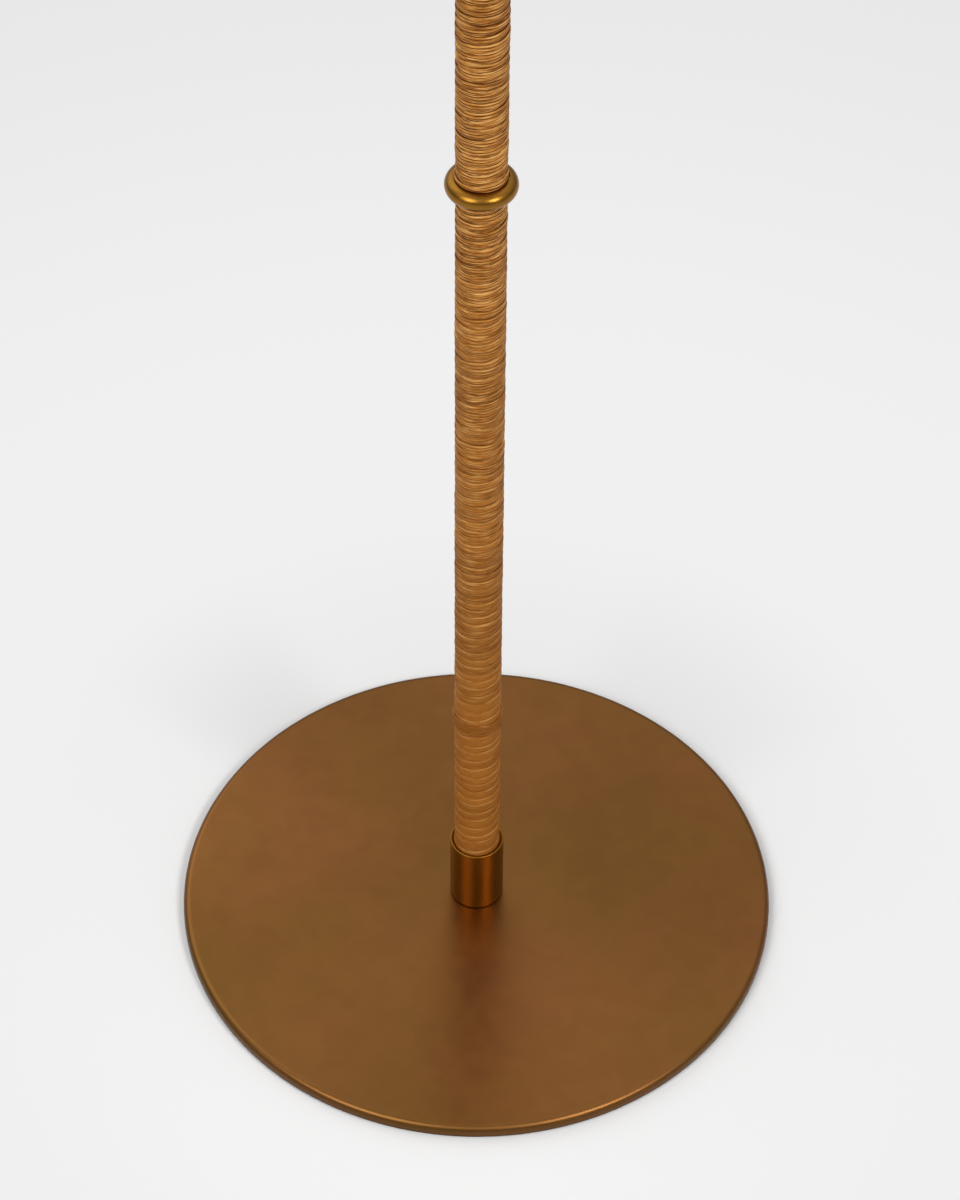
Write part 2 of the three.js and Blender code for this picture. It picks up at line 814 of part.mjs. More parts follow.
function shadeWire(level) {
  const height = level - levels.shadeFoot;
  const reach = shadeWireReach(height);
  const sides = ringSectionSides;
  const section = arc(reach, height, shadeWireRadius, 0, 360 - 360 / sides, sides - 1);
  return revolve(section, shadeSides);
}

function shadeBottomRing() {
  return part('shade_bottom_ring', shadeWire(levels.bottomWire), agedBrass);
}

// The top ring, three arms and the eye that sits on the harp are welded into one piece
function shadeSpider() {
  const wireHeight = levels.topWire - levels.shadeFoot;
  const eyeFoot = levels.spider - levels.shadeFoot;
  const eyeMiddle = eyeFoot + spiderEyeThickness / 2;
  const reach = shadeWireReach(wireHeight);
  const eyeHole = studRadius + turningGap;
  const eye = sleeve(eyeHole, spiderEyeRadius, eyeFoot, eyeFoot + spiderEyeThickness, smallSides);
  const armStart = (eyeHole + spiderEyeRadius) / 2;
  const arms = [90, 210, 330].map((direction) => {
    const path = new THREE.CurvePath();
    const corners = [
      [armStart + shadeWireRadius, eyeMiddle],
      [spiderEyeRadius + shadeWireRadius, eyeMiddle],
      [spiderEyeRadius + spiderSlopeLength, wireHeight],
      [reach, wireHeight],
    ].map(([x, z]) => new THREE.Vector3(x, 0, z));
    path.add(new THREE.LineCurve3(corners[0], corners[1]));
    path.add(new THREE.CubicBezierCurve3(
      corners[1],
      corners[1].clone().setX(spiderEyeRadius + spiderSlopeLength / 2),
      corners[2].clone().setX(spiderEyeRadius + spiderSlopeLength / 2),
      corners[2],
    ));
    path.add(new THREE.LineCurve3(corners[2], corners[3]));
    return wire(path, shadeWireRadius, 8).rotateZ(THREE.MathUtils.degToRad(direction));
  });
  return part('shade_spider', join(shadeWire(levels.topWire), eye, ...arms), agedBrass);
}

// A turned finial: foot, hollow neck, ball and tip, with a blind bore for the stud
function finial() {
  const ballCentre = finialHeight - finialTipHeight - finialBallRadius;
  const neckAngle = -50;
  const tipAngle = THREE.MathUtils.radToDeg(Math.acos(finialTipRadius / finialBallRadius));
  const outline = [
    [0, 0],
    [finialFootRadius, 0],
    [finialFootRadius, finialFootHeight],
    [finialNeckRadius, 2 * finialFootHeight],
    ...arc(0, ballCentre, finialBallRadius, neckAngle, tipAngle, 6),
    [finialTipRadius, finialHeight - finialTipRadius],
    [finialTipRadius / 2, finialHeight],
    [0, finialHeight],
  ];
  const bore = rod(studRadius + fitGap, -cutOverrun, finialBoreDepth, smallSides);
  return part('finial', cut(revolve(outline, turnedSides), bore), warmBrass);
}

const lamp = new THREE.Group();

// Base
lamp.add(basePad());
lamp.add(assembly(levels.plateFoot, basePlate(), baseScrew()));
lamp.add(assembly(levels.ferruleFoot, footPlug(), baseFerrule()));
lamp.add(assembly(levels.outlet, cordBushing()));

// Post, from the bottom up
const postNames = ['lower', 'middle', 'upper'];
const webReach = beadWebThickness / 2 + fitGap;
const tubeFeet = [levels.ferruleFoot, ...levels.beads.map((level) => level + webReach)];
const tubeTops = [...levels.beads.map((level) => level - webReach), levels.tubeTop];
const hiddenEnd = ferruleRecessDepth - fitGap;
const beadFeet = levels.beads.map((level) => level - beadHalfHeight);
const beadTops = levels.beads.map((level) => level + beadHalfHeight);
const windingFeet = [levels.ferruleTop - hiddenEnd, ...beadTops];
const windingTops = [...beadFeet, levels.topFerruleFoot + hiddenEnd];
postNames.forEach((name, section) => {
  const swell = section > 0 ? footSwell : 0;
  const length = windingTops[section] - windingFeet[section];
  lamp.add(postTube(`${name}_tube`, tubeFeet[section], tubeTops[section]));
  lamp.add(assembly(windingFeet[section], winding(`${name}_winding`, length, swell)));
});
levels.beads.forEach((level, bead) => {
  const place = ['lower', 'upper'][bead];
  lamp.add(assembly(level, beadRing(`${place}_bead_ring`), coupler(`${place}_coupler`)));
});
lamp.add(assembly(levels.topFerruleFoot, topFerrule()));
lamp.add(assembly(levels.tubeTop - plugHeight, topPlug()));
lamp.add(nipple());

// Socket, switch and bulb
lamp.add(assembly(levels.nutFoot, lockNut()));
lamp.add(assembly(levels.capFoot, socketCap()));
lamp.add(assembly(levels.shellFoot, socketShell()));
lamp.add(assembly(levels.socketBodyFoot, socketLiner(), socketBody()));
lamp.add(assembly(levels.screwShellFoot, screwShell(), centreContact()));
lamp.add(assembly(levels.switch, switchShaft(), switchKnob()));
lamp.add(assembly(levels.bulbFoot, bulbCap(), bulbGlass()));

// Harp and shade
lamp.add(assembly(levels.saddleFoot, harpSaddle(), harpBow()));
lamp.add(harpSleeve('harp_sleeve_left', -1));
lamp.add(harpSleeve('harp_sleeve_right', 1));
lamp.add(assembly(levels.harpTop, harpStud()));
lamp.add(assembly(levels.shadeFoot, shadePanel(), shadeBottomRing(), shadeSpider()));
lamp.add(assembly(levels.finialFoot, finial()));

export default lamp;
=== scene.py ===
"""Dresses a rattan floor lamp: a wound post on a round brass base, with a socket, a harp and a linen shade.

Sizes are in millimetres until they are placed, and the scene is in metres, +Z up, with the
floor at zero and the front, where the switch knob points, at -Y.
"""

import math
import random

import bpy
import numpy as np
from bpy.props import FloatProperty, FloatVectorProperty, IntProperty, PointerProperty
from mathutils import Matrix, Vector


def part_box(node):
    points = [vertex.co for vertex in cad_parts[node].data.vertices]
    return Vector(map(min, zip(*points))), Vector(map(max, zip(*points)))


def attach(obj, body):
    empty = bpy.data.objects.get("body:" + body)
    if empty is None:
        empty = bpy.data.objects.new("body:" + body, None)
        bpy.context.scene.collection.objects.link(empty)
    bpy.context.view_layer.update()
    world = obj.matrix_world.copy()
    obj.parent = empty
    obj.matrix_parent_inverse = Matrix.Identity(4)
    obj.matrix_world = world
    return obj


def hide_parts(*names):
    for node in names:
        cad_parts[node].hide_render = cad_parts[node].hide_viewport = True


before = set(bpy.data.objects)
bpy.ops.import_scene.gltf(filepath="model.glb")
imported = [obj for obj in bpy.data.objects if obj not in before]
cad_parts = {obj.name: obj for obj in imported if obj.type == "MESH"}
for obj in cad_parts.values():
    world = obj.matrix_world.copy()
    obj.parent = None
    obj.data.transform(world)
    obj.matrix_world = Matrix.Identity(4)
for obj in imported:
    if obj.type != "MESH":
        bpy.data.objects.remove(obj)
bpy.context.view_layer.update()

bl_info = {
    "name": "Rattan Floor Lamp",
    "version": (1, 0, 0),
    "blender": (4, 5, 0),
    "location": "3D View > Sidebar > Rattan Lamp",
    "description": "Models and finishes a floor lamp with a rattan-wound post, piece by piece",
    "category": "Object",
}

MM = 0.001
COLOUR = {"size": 3, "subtype": "COLOR", "min": 0, "max": 1}


def linear(code):
    """Turns an sRGB hex colour into linear red, green and blue."""
    shares = [int(code[start:start + 2], 16) / 255 for start in (0, 2, 4)]
    return tuple(c / 12.92 if c <= 0.04045 else ((c + 0.055) / 1.055) ** 2.4 for c in shares)


def reach(node):
    """A node's largest reach along X, its foot and its top, in millimetres."""
    low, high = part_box(node)
    return high.x / MM, low.z / MM, high.z / MM


# Sizes in millimetres that several pieces share
OUTLET_HEIGHT, SWITCH_HEIGHT = 33.5, 1413.1
OVER_TUBE, OVER_COUPLER, OVER_NIPPLE = 9.825, 8.025, 5.15
HARP_LEG = 28.5


class RattanLampStageSettings(bpy.types.PropertyGroup):
    """Where the camera stands and how bright the studio is."""

    camera_place: FloatVectorProperty(
        name="Camera place", description="Where the camera stands",
        default=(-0.00493, -1.1731, 1.4677), subtype="TRANSLATION", unit="LENGTH")
    camera_turn: FloatProperty(
        name="Camera turn", description="Turn of the camera about the vertical",
        default=math.radians(0.275), unit="ROTATION")
    camera_tilt: FloatProperty(
        name="Camera tilt", description="How far the camera looks down",
        default=math.radians(46.63), unit="ROTATION")
    camera_roll: FloatProperty(
        name="Camera roll", description="Roll of the camera about its own line of sight",
        default=math.radians(0.435), unit="ROTATION")
    camera_lens: FloatProperty(
        name="Focal length", description="Focal length for a 36 mm long side",
        default=107.44, unit="CAMERA")
    # The floor round the lamp is a painted pool of light, emitted in this colour, that fades further off into
    # the far colour
    lit_pool_colour: FloatVectorProperty(
        name="Floor colour", description="Colour of the floor round the lamp",
        default=linear("f0f0f0"), **COLOUR)
    far_colour: FloatVectorProperty(
        name="Far colour", description="Colour of the floor further off and of the studio behind it",
        default=linear("e7e7e7"), **COLOUR)
    sky_light: FloatProperty(
        name="Sky light", description="Strength of the even light from all round",
        default=0.35, min=0)
    wall_light: FloatProperty(
        name="Wall light", description="Brightness of the studio's walls where metal mirrors them",
        default=0.14, min=0)
    key_light: FloatProperty(
        name="Key light", description="Power of the large soft light at the left",
        default=32.5, min=0, unit="POWER")
    fill_light: FloatProperty(
        name="Fill light", description="Power of the large soft light at the right",
        default=30.5, min=0, unit="POWER")
    rear_light: FloatProperty(
        name="Rear light", description="Power of the broad light behind at the left",
        default=11.0, min=0, unit="POWER")


class RattanLampBrassSettings(bpy.types.PropertyGroup):
    """The two brass finishes."""

    olive: FloatVectorProperty(
        name="Aged brass, olive", description="The cooler patches of the aged brass",
        default=linear("785326"), **COLOUR)
    russet: FloatVectorProperty(
        name="Aged brass, russet", description="The warmer patches of the aged brass",
        default=linear("7e512b"), **COLOUR)
    tube: FloatVectorProperty(
        name="Aged brass, tube", description="The even brown of the ferrules, harp and wires",
        default=linear("90641d"), **COLOUR)
    golden: FloatVectorProperty(
        name="Warm brass", description="The brass of the bead rings, socket and finial",
        default=linear("966820"), **COLOUR)
    patch: FloatProperty(
        name="Patch size", description="Size of the patches in the aged brass",
        default=0.11, min=0.001, unit="LENGTH")


class RattanLampWindingSettings(bpy.types.PropertyGroup):
    """The strip of peel and how it lies."""

    width: FloatProperty(
        name="Strip width", description="Width of the strip of peel",
        default=0.005, min=0.001, unit="LENGTH")
    light: FloatVectorProperty(
        name="Light peel", description="The lightest turns of the peel",
        default=linear("c4853c"), **COLOUR)
    middle: FloatVectorProperty(
        name="Middle peel", description="The usual colour of the peel",
        default=linear("a96b2b"), **COLOUR)
    dark: FloatVectorProperty(
        name="Dark peel", description="The darkest turns of the peel",
        default=linear("86501c"), **COLOUR)
    # The pale fibres of the peel, and the painted highlight along the upper edges of the turns
    pale_and_highlight: FloatVectorProperty(
        name="Pale peel and painted highlight", description="The rubbed upper edges of the peel",
        default=linear("e4b06a"), **COLOUR)
    groove: FloatVectorProperty(
        name="Groove", description="The stained edges between two turns",
        default=linear("50290a"), **COLOUR)
    foot_marks: FloatProperty(
        name="Marks at the foot", description="How much fibres and stains show at the foot of the post",
        default=0.14, min=0, max=1)
    seed: IntProperty(name="Seed", description="Starts the random widths and tones", default=7)


class RattanLampShadeSettings(bpy.types.PropertyGroup):
    """The linen of the shade."""

    linen: FloatVectorProperty(
        name="Linen", description="Colour of the linen",
        default=linear("e2d8c4"), **COLOUR)
    gaps: FloatVectorProperty(
        name="Gaps", description="Colour between the threads of the linen",
        default=linear("c2b9a7"), **COLOUR)
    thread: FloatProperty(
        name="Thread spacing", description="Distance from one thread of the linen to the next",
        default=0.0011, min=0.0003, unit="LENGTH")
    seam_width: FloatProperty(
        name="Seam width", description="Width of the lap where the ends of the cover meet",
        default=0.012, min=0.002, unit="LENGTH")
    hem_width: FloatProperty(
        name="Hem width", description="Height of the tape round the two edges of the shade",
        default=0.009, min=0.002, unit="LENGTH")


# Modelling

def start(name, primitive, **settings):
    """Adds a primitive as a new piece and leaves it alone in the selection."""
    bpy.ops.object.select_all(action="DESELECT")
    primitive(**settings)
    piece = bpy.context.object
    piece.name = name
    piece.data.name = name
    return piece


def select(*pieces):
    bpy.ops.object.select_all(action="DESELECT")
    for piece in pieces:
        piece.select_set(True)
    bpy.context.view_layer.objects.active = pieces[0]


def close_up(piece):
    """Merges doubled points and turns the faces outwards."""
    select(piece)
    bpy.ops.object.mode_set(mode="EDIT")
    bpy.ops.mesh.select_all(action="SELECT")
    bpy.ops.mesh.remove_doubles(threshold=MM / 1000)
    bpy.ops.mesh.normals_make_consistent(inside=False)
    bpy.ops.object.mode_set(mode="OBJECT")


def modify(piece, kind, **settings):
    """Adds a modifier and applies it."""
    select(piece)
    bpy.ops.object.modifier_add(type=kind)
    modifier = piece.modifiers[-1]
    for key, value in settings.items():
        setattr(modifier, key, value)
    bpy.ops.object.modifier_apply(modifier=modifier.name)


def smooth(piece, angle=35, edge=0.0):
    """Rounds the sharp edges by so many millimetres and shades the rest smooth."""
    if edge:
        modify(piece, "BEVEL", width=edge * MM, segments=2, limit_method="ANGLE",
               angle_limit=math.radians(angle))
    select(piece)
    bpy.ops.object.shade_smooth_by_angle(angle=math.radians(angle))
    modify(piece, "WEIGHTED_NORMAL", keep_sharp=True)
    return piece


def arc(centre_radius, centre_height, radius, begin, end, steps):
    """Points of an arc in an outline, from one angle to the other, in degrees."""
    angles = [math.radians(begin + (end - begin) * step / steps) for step in range(steps + 1)]
    return [(centre_radius + radius * math.cos(a), centre_height + radius * math.sin(a)) for a in angles]


def turned(name, outline, foot=0.0, sides=96):
    """Draws an outline of (radius, height) points edge by edge and spins it about Z."""
    piece = start(name, bpy.ops.mesh.primitive_plane_add, size=MM)
    bpy.ops.object.mode_set(mode="EDIT")
    bpy.ops.mesh.merge(type="CENTER")
    loop = outline if outline[0][0] == 0 else [*outline, outline[0]]
    places = [Vector((radius, 0, foot + height)) * MM for radius, height in loop]
    bpy.ops.transform.translate(value=places[0])
    for here, there in zip(places, places[1:]):
        bpy.ops.mesh.extrude_vertices_move(TRANSFORM_OT_translate={"value": there - here})
    bpy.ops.mesh.select_all(action="SELECT")
    bpy.ops.mesh.spin(steps=sides, angle=2 * math.pi, center=(0, 0, 0), axis=(0, 0, 1))
    bpy.ops.object.mode_set(mode="OBJECT")
    close_up(piece)
    return piece


def pin(name, radius, foot, top, sides=48):
    """A plain pin about Z, for a small piece or as a cutter."""
    return start(name, bpy.ops.mesh.primitive_cylinder_add, vertices=sides, radius=radius * MM,
                 depth=(top - foot) * MM, location=(0, 0, (foot + top) / 2 * MM))


def apply_place(piece):
    select(piece)
    bpy.ops.object.transform_apply(location=True, rotation=True, scale=True)


def lay(piece, height, toward_rear=False):
    """Lays a piece made about Z along Y at a height, with its top to the front or to the rear."""
    apply_place(piece)
    turn = -math.pi / 2 if toward_rear else math.pi / 2
    piece.rotation_euler.x = turn
    piece.location.z = height * MM
    apply_place(piece)
    return piece


def cut(piece, cutter):
    """Cuts a cutter out of a piece and removes the cutter."""
    modify(piece, "BOOLEAN", operation="DIFFERENCE", solver="EXACT", object=cutter)
    select(cutter)
    bpy.ops.object.delete()


def join(*pieces):
    select(*pieces)
    bpy.ops.object.join()
    return pieces[0]


def copy_of(piece, name):
    """A copy of a piece, with its own mesh."""
    select(piece)
    bpy.ops.object.duplicate(linked=False)
    made = bpy.context.object
    made.name = made.data.name = name
    return made


def bent_wire(name, knots, radius, steps=16, sides=6):
    """Bends a round wire along knots of (place, handle before, handle after), in millimetres."""
    piece = start(name, bpy.ops.curve.primitive_bezier_curve_add)
    curve = piece.data
    spline = curve.splines[0]
    spline.bezier_points.add(len(knots) - 2)
    for point, knot in zip(spline.bezier_points, knots):
        point.handle_left_type = point.handle_right_type = "FREE"
        point.co, point.handle_left, point.handle_right = (Vector(place) * MM for place in knot)
    curve.bevel_depth = radius * MM
    curve.bevel_resolution = sides
    curve.resolution_u = steps
    curve.use_fill_caps = True
    bpy.ops.object.convert(target="MESH")
    return bpy.context.object


def wave(piece, move):
    """Moves each point of a piece to the radius that move(radius, angle, height) gives."""
    for vertex in piece.data.vertices:
        x, y, z = vertex.co / MM
        radius, angle = math.hypot(x, y), math.atan2(y, x)
        if radius > 0:
            wanted = move(radius, angle, z)
            vertex.co.x *= wanted / radius
            vertex.co.y *= wanted / radius


def thread(piece, foot, top, pitch, depth, least):
    """Rolls a right-hand round thread into the skin of a piece outside a least radius."""
    def rolled(radius, angle, height):
        if radius < least or not foot < height < top:
            return radius
        fade = min(1, (height - foot) / pitch, (top - height) / pitch)
        phase = 2 * math.pi * height / pitch - angle
        return radius - depth * fade * (0.5 - 0.5 * math.cos(phase))
    wave(piece, rolled)


def wrap(piece, radius):
    """Gives a piece a UV map in metres: round it at a radius, and up it."""
    layer = piece.data.uv_layers.new(name="wrap")
    for face in piece.data.polygons:
        points = [piece.data.vertices[number].co for number in face.vertices]
        angles = [math.atan2(-point.x, -point.y) for point in points]
        # A face across the join at the rear would run all the way back round
        turn = 2 * math.pi if max(angles) - min(angles) > math.pi else 0
        for corner, point, angle in zip(face.loop_indices, points, angles):
            around = angle + turn if angle < 0 else angle
            layer.data[corner].uv = (around * radius * MM, point.z)


def settle(piece, body, slot, *nodes, finish=None):
    """Fixes a piece in place, with its body, the finish of its slot and the nodes it stands for."""
    apply_place(piece)
    piece.data.materials.clear()
    piece.data.materials.append((finish or FINISHES[slot])())
    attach(piece, body)
    if nodes:
        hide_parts(*nodes)
    return piece


# Finishes

def feed(tree, node, values):
    """Sets inputs of a node, or links them to a node or its output. A colour is red, green, blue."""
    for key, value in values.items():
        if isinstance(value, bpy.types.Node):
            value = next(output for output in value.outputs if output.enabled)
        if isinstance(value, bpy.types.NodeSocket):
            tree.links.new(value, node.inputs[key])
        elif node.inputs[key].type == "RGBA":
            node.inputs[key].default_value = (*value, 1)
        else:
            node.inputs[key].default_value = value


def add_node(tree, kind, values=None, **settings):
    """Adds a node with its settings, inputs and links."""
    made = tree.nodes.new("ShaderNode" + kind)
    for key, value in settings.items():
        setattr(made, key, value)
    feed(tree, made, values or {})
    return made


def new_finish(name, values=None):
    """A material with the constants set on its shader. Gives the material, its nodes and shader."""
    made = bpy.data.materials.new(name)
    made.use_nodes = True
    shader = made.node_tree.nodes["Principled BSDF"]
    feed(made.node_tree, shader, values or {})
    return made, made.node_tree, shader


def once(make):
    """Makes a finish the first time it is asked for and keeps it."""
    kept = []

    def get():
        if not kept:
            kept.append(make())
        return kept[0]
    return get


def scale_of(millimetres):
    """The scale of a pattern whose features are about so many millimetres across."""
    return 1 / (millimetres * MM)


def seen_rays(tree):
    """The kinds of ray, and whether one comes from the camera, straight or through glass."""
    path = add_node(tree, "LightPath")
    seen = add_node(tree, "Math", {
        0: path.outputs["Is Camera Ray"], 1: path.outputs["Is Transmission Ray"]}, operation="MAXIMUM")
    return path, seen


def mottled(name, constants, kind, pattern, dark, light, rough=None, nap=0.0):
    """A finish whose tone, roughness and nap, in millimetres, follow one fine pattern."""
    made, tree, shader = new_finish(name, constants)
    place = add_node(tree, "TexCoord").outputs["Object"]
    pattern = add_node(tree, kind, {"Vector": place, **pattern})
    values = {"Base Color": add_node(tree, "Mix", {
        0: pattern, 6: linear(dark), 7: linear(light)}, data_type="RGBA")}
    if rough:
        values["Roughness"] = add_node(tree, "MapRange", {
            "Value": pattern, "To Min": rough[0], "To Max": rough[1]})
    if nap:
        values["Normal"] = add_node(tree, "Bump", {
            "Height": pattern, "Strength": 0.5, "Distance": nap * MM})
    feed(tree, shader, values)
    return made


@once
def aged_brass():
    """Brass sheet and tube, brushed, aged brown in a bath and waxed.

    The bath leaves soft olive and russet patches some centimetres wide, and the wax leaves a
    satin sheen that mirrors only large bright and dark things. The rim by the floor is scuffed
    matt, and the side face of the plate is darker. A painted shadow darkens its foot further,
    where the plate meets the pad. Tube and wire above the plate are an even olive brown, and
    a little duller.
    """
    settings = bpy.context.scene.rattan_lamp_brass
    made, tree, shader = new_finish("Aged_brass_waxed", {
        "Metallic": 1.0, "Coat Weight": 0.05, "Coat Roughness": 0.3})
    place = add_node(tree, "TexCoord").outputs["Object"]
    height = add_node(tree, "SeparateXYZ", {0: place}).outputs["Z"]
    # Clouds of a size in metres, with their detail and the values between which they run
    clouds = []
    for size, detail, low, high in (
            (settings.patch, 3.0, 0.0, 1.0), (1.7 * settings.patch, 2.0, 0.86, 1.14),
            (12 * MM, 1.0, 0.96, 1.04), (12 * MM, 1.0, 0.285, 0.32)):
        noise = add_node(tree, "TexNoise", {
            "Vector": place, "Scale": 1 / size, "Detail": detail, "Roughness": 0.5, "Distortion": 0.4})
        clouds.append(add_node(tree, "MapRange", {
            "Value": noise, "From Min": 0.3, "From Max": 0.7, "To Min": low, "To Max": high}))
    patches, broad_shade, fine_shade, rough = clouds
    # Changes between two heights in millimetres, with the values at both
    climbs = []
    for foot, top, low, high in (
            (7.55, 7.75, 0.0, 1.0), (5.0, 6.6, 0.7, 1.0), (1.2, 2.6, 0.3, 1.0),
            (6.7, 7.45, 0.12, 0.0), (7.55, 7.75, 0.0, 0.09)):
        climbs.append(add_node(tree, "MapRange", {
            "Value": height, "From Min": foot * MM, "From Max": top * MM, "To Min": low, "To Max": high}))
    # Above the plate comes the tube's brown. The side face of the plate is darker, and a painted shadow
    # darkens the plate's foot where it meets the pad
    above_plate, rim_shade, painted_foot_shadow, rim_rough, tube_rough = climbs
    colour = add_node(tree, "Mix", {0: patches, 6: settings.olive, 7: settings.russet}, data_type="RGBA")
    colour = add_node(tree, "Mix", {0: above_plate, 6: colour, 7: settings.tube}, data_type="RGBA")
    # The clouds, the darker side face and the painted shadow along the foot darken the colour
    for shade in (broad_shade, fine_shade, rim_shade, painted_foot_shadow):
        colour = add_node(tree, "Mix", {0: 1.0, 6: colour, 7: shade},
                          data_type="RGBA", blend_type="MULTIPLY")
    for more in (rim_rough, tube_rough):
        rough = add_node(tree, "Math", {0: more, 1: rough})
    feed(tree, shader, {"Base Color": colour, "Roughness": rough})
    return made


@once
def warm_brass():
    """Turned brass, polished and lightly lacquered: golden, with a faint cloud in its gloss."""
    settings = bpy.context.scene.rattan_lamp_brass
    made, tree, shader = new_finish("Warm_brass_lacquered", {
        "Metallic": 1.0, "Coat Weight": 0.12, "Coat Roughness": 0.2})
    place = add_node(tree, "TexCoord").outputs["Object"]
    cloud = add_node(tree, "TexNoise", {
        "Vector": place, "Scale": scale_of(5), "Detail": 4.0, "Roughness": 0.6})
    tone = add_node(tree, "MapRange", {
        "Value": cloud, "From Min": 0.3, "From Max": 0.7, "To Min": 0.86, "To Max": 1.04})
    colour = add_node(tree, "Mix", {0: 1.0, 6: settings.golden, 7: tone},
                      data_type="RGBA", blend_type="MULTIPLY")
    rough = add_node(tree, "MapRange", {
        "Value": cloud, "From Min": 0.3, "From Max": 0.7, "To Min": 0.29, "To Max": 0.37})
    feed(tree, shader, {"Base Color": colour, "Roughness": rough})
    return made


@once
def zinc_steel():
    """Mild steel with bright zinc plating: cool grey, with the fine spangle of the bath."""
    return mottled("Steel_zinc_plated", {"Metallic": 1.0}, "TexVoronoi",
                   {"Scale": scale_of(1.6)}, "a2a4a4", "86898a", rough=(0.3, 0.42))


@once
def rattan_peel():
    """Split rattan peel under thin satin lacquer.

    The strip map runs in metres along the strip and up from its lower edge, and the turn map
    gives the way on to its upper edge and a tone for the turn. The peel has pale and dark fibres
    along its length, and two or three split lines that bend and break off. Stain gathers here
    and there between two turns. A pale painted highlight lies along the upper edges, where they
    face the light from above, and is stronger up the post. Near the foot, where the post is
    wiped with the base, all this is softer.
    """
    settings = bpy.context.scene.rattan_lamp_winding
    made, tree, shader = new_finish("Rattan_peel_lacquered", {"Specular IOR Level": 0.04})
    strip = add_node(tree, "UVMap", uv_map="strip")
    up = add_node(tree, "SeparateXYZ", {0: strip}).outputs["Y"]
    turn = add_node(tree, "SeparateXYZ", {0: add_node(tree, "UVMap", uv_map="turn")})
    on, tone = turn.outputs["X"], turn.outputs["Y"]
    place = add_node(tree, "TexCoord").outputs["Object"]
    height = add_node(tree, "SeparateXYZ", {0: place}).outputs["Z"]
    # Streaks so many millimetres long and wide, with their detail
    streaks = {}
    for name, long, wide, detail in (
            # The highlit streaks break up the painted highlight along the upper edges
            ("blotch", 5, 1.5, 2.0), ("fibre", 11, 0.42, 3.0), ("bend", 30, 40, 2.0),
            ("highlit", 15, 30, 2.0), ("split", 18, 1.6, 1.0), ("stain", 9, 40, 2.0)):
        moved = add_node(tree, "VectorMath", {
            0: strip, 1: (scale_of(long), scale_of(wide), 1)}, operation="MULTIPLY")
        streaks[name] = add_node(tree, "TexNoise", {
            "Vector": moved, "Scale": 1.0, "Detail": detail, "Roughness": 0.6})
    bent = add_node(tree, "Math", {0: streaks["bend"], 1: 1.2 * MM, 2: up},
                    operation="MULTIPLY_ADD")
    split = add_node(tree, "Math", {0: bent, 1: settings.width / 6}, operation="PINGPONG")
    border = add_node(tree, "Math", {0: up, 1: on}, operation="MINIMUM")
    # How strongly each mark shows, from least at one value to most at the other
    marks = {}
    for name, value, begin, end, least, most in (
            ("keen", height, 0.12, 0.5, settings.foot_marks, 1.0),
            ("blotch", streaks["blotch"], 0.3, 0.7, 0.0, 1.0),
            ("pale fibre", streaks["fibre"], 0.53, 0.63, 0.0, 1.0),
            ("dark fibre", streaks["fibre"], 0.47, 0.36, 0.0, 0.95),
            # The painted highlight along the upper edges: stronger up the post, and where it shows
            ("highlit", height, 0.12, 0.5, 0.28, 0.8),
            ("upper edge", on, 1.2 * MM, 0.3 * MM, 0.0, 1.0),
            ("highlit here", streaks["highlit"], 0.42, 0.66, 0.0, 1.0),
            ("split", split, 0.34 * MM, 0.12 * MM, 0.0, 1.0),
            ("split here", streaks["split"], 0.36, 0.48, 0.0, 1.0),
            ("either edge", border, 0.36 * MM, 0.05 * MM, 0.0, 1.0),
            ("stained here", streaks["stain"], 0.42, 0.6, 0.08, 1.0),
            ("rough", streaks["fibre"], 0.3, 0.7, 0.42, 0.6)):
        marks[name] = add_node(tree, "MapRange", {
            "Value": value, "From Min": begin, "From Max": end, "To Min": least, "To Max": most})
    blotch = add_node(tree, "Mix", {0: marks["keen"], 2: 0.5, 3: marks["blotch"]})
    ripeness = add_node(tree, "Math", {0: blotch, 1: 0.7, 2: tone}, operation="MULTIPLY_ADD")
    peel = add_node(tree, "ValToRGB", {"Fac": ripeness})
    ramp = peel.color_ramp.elements
    ramp[0].color = (*settings.dark, 1)
    ramp[1].color = (*settings.light, 1)
    ramp.new(0.5).color = (*settings.middle, 1)
    layers = (
        (settings.pale_and_highlight, "keen", "pale fibre"),
        (settings.groove, "keen", "dark fibre"),
        # A painted highlight along the upper edges of the turns, broken here and there
        (settings.pale_and_highlight, "highlit", "upper edge", "highlit here"),
        (settings.groove, "keen", "split", "split here"),
        (settings.groove, "keen", "either edge", "stained here"),
    )
    for colour, first, *others in layers:
        share = marks[first]
        for other in others:
            share = add_node(tree, "Math", {0: share, 1: marks[other]}, operation="MULTIPLY")
        peel = add_node(tree, "Mix", {0: share, 6: peel, 7: colour}, data_type="RGBA")
    bump = add_node(tree, "Bump", {
        "Height": streaks["fibre"], "Strength": 0.6, "Distance": 0.16 * MM})
    feed(tree, shader, {"Base Color": peel, "Roughness": marks["rough"], "Normal": bump})
    return made


@once
def wool_felt():
    """Pressed wool felt: dark, matt, with a nap of short crossed fibres."""
    return mottled("Wool_felt", {"Roughness": 0.95, "Sheen Weight": 0.3}, "TexNoise",
                   {"Scale": scale_of(0.7), "Detail": 4.0}, "1f1b17", "3a322c", nap=0.3)


@once
def phenolic():
    """Moulded phenolic: nearly black brown, with the faint flow marks of the mould."""
    return mottled("Phenolic_moulded", {"IOR": 1.6}, "TexNoise",
                   {"Scale": scale_of(4), "Detail": 3.0, "Distortion": 1.0}, "191513", "2a2320",
                   rough=(0.28, 0.42))


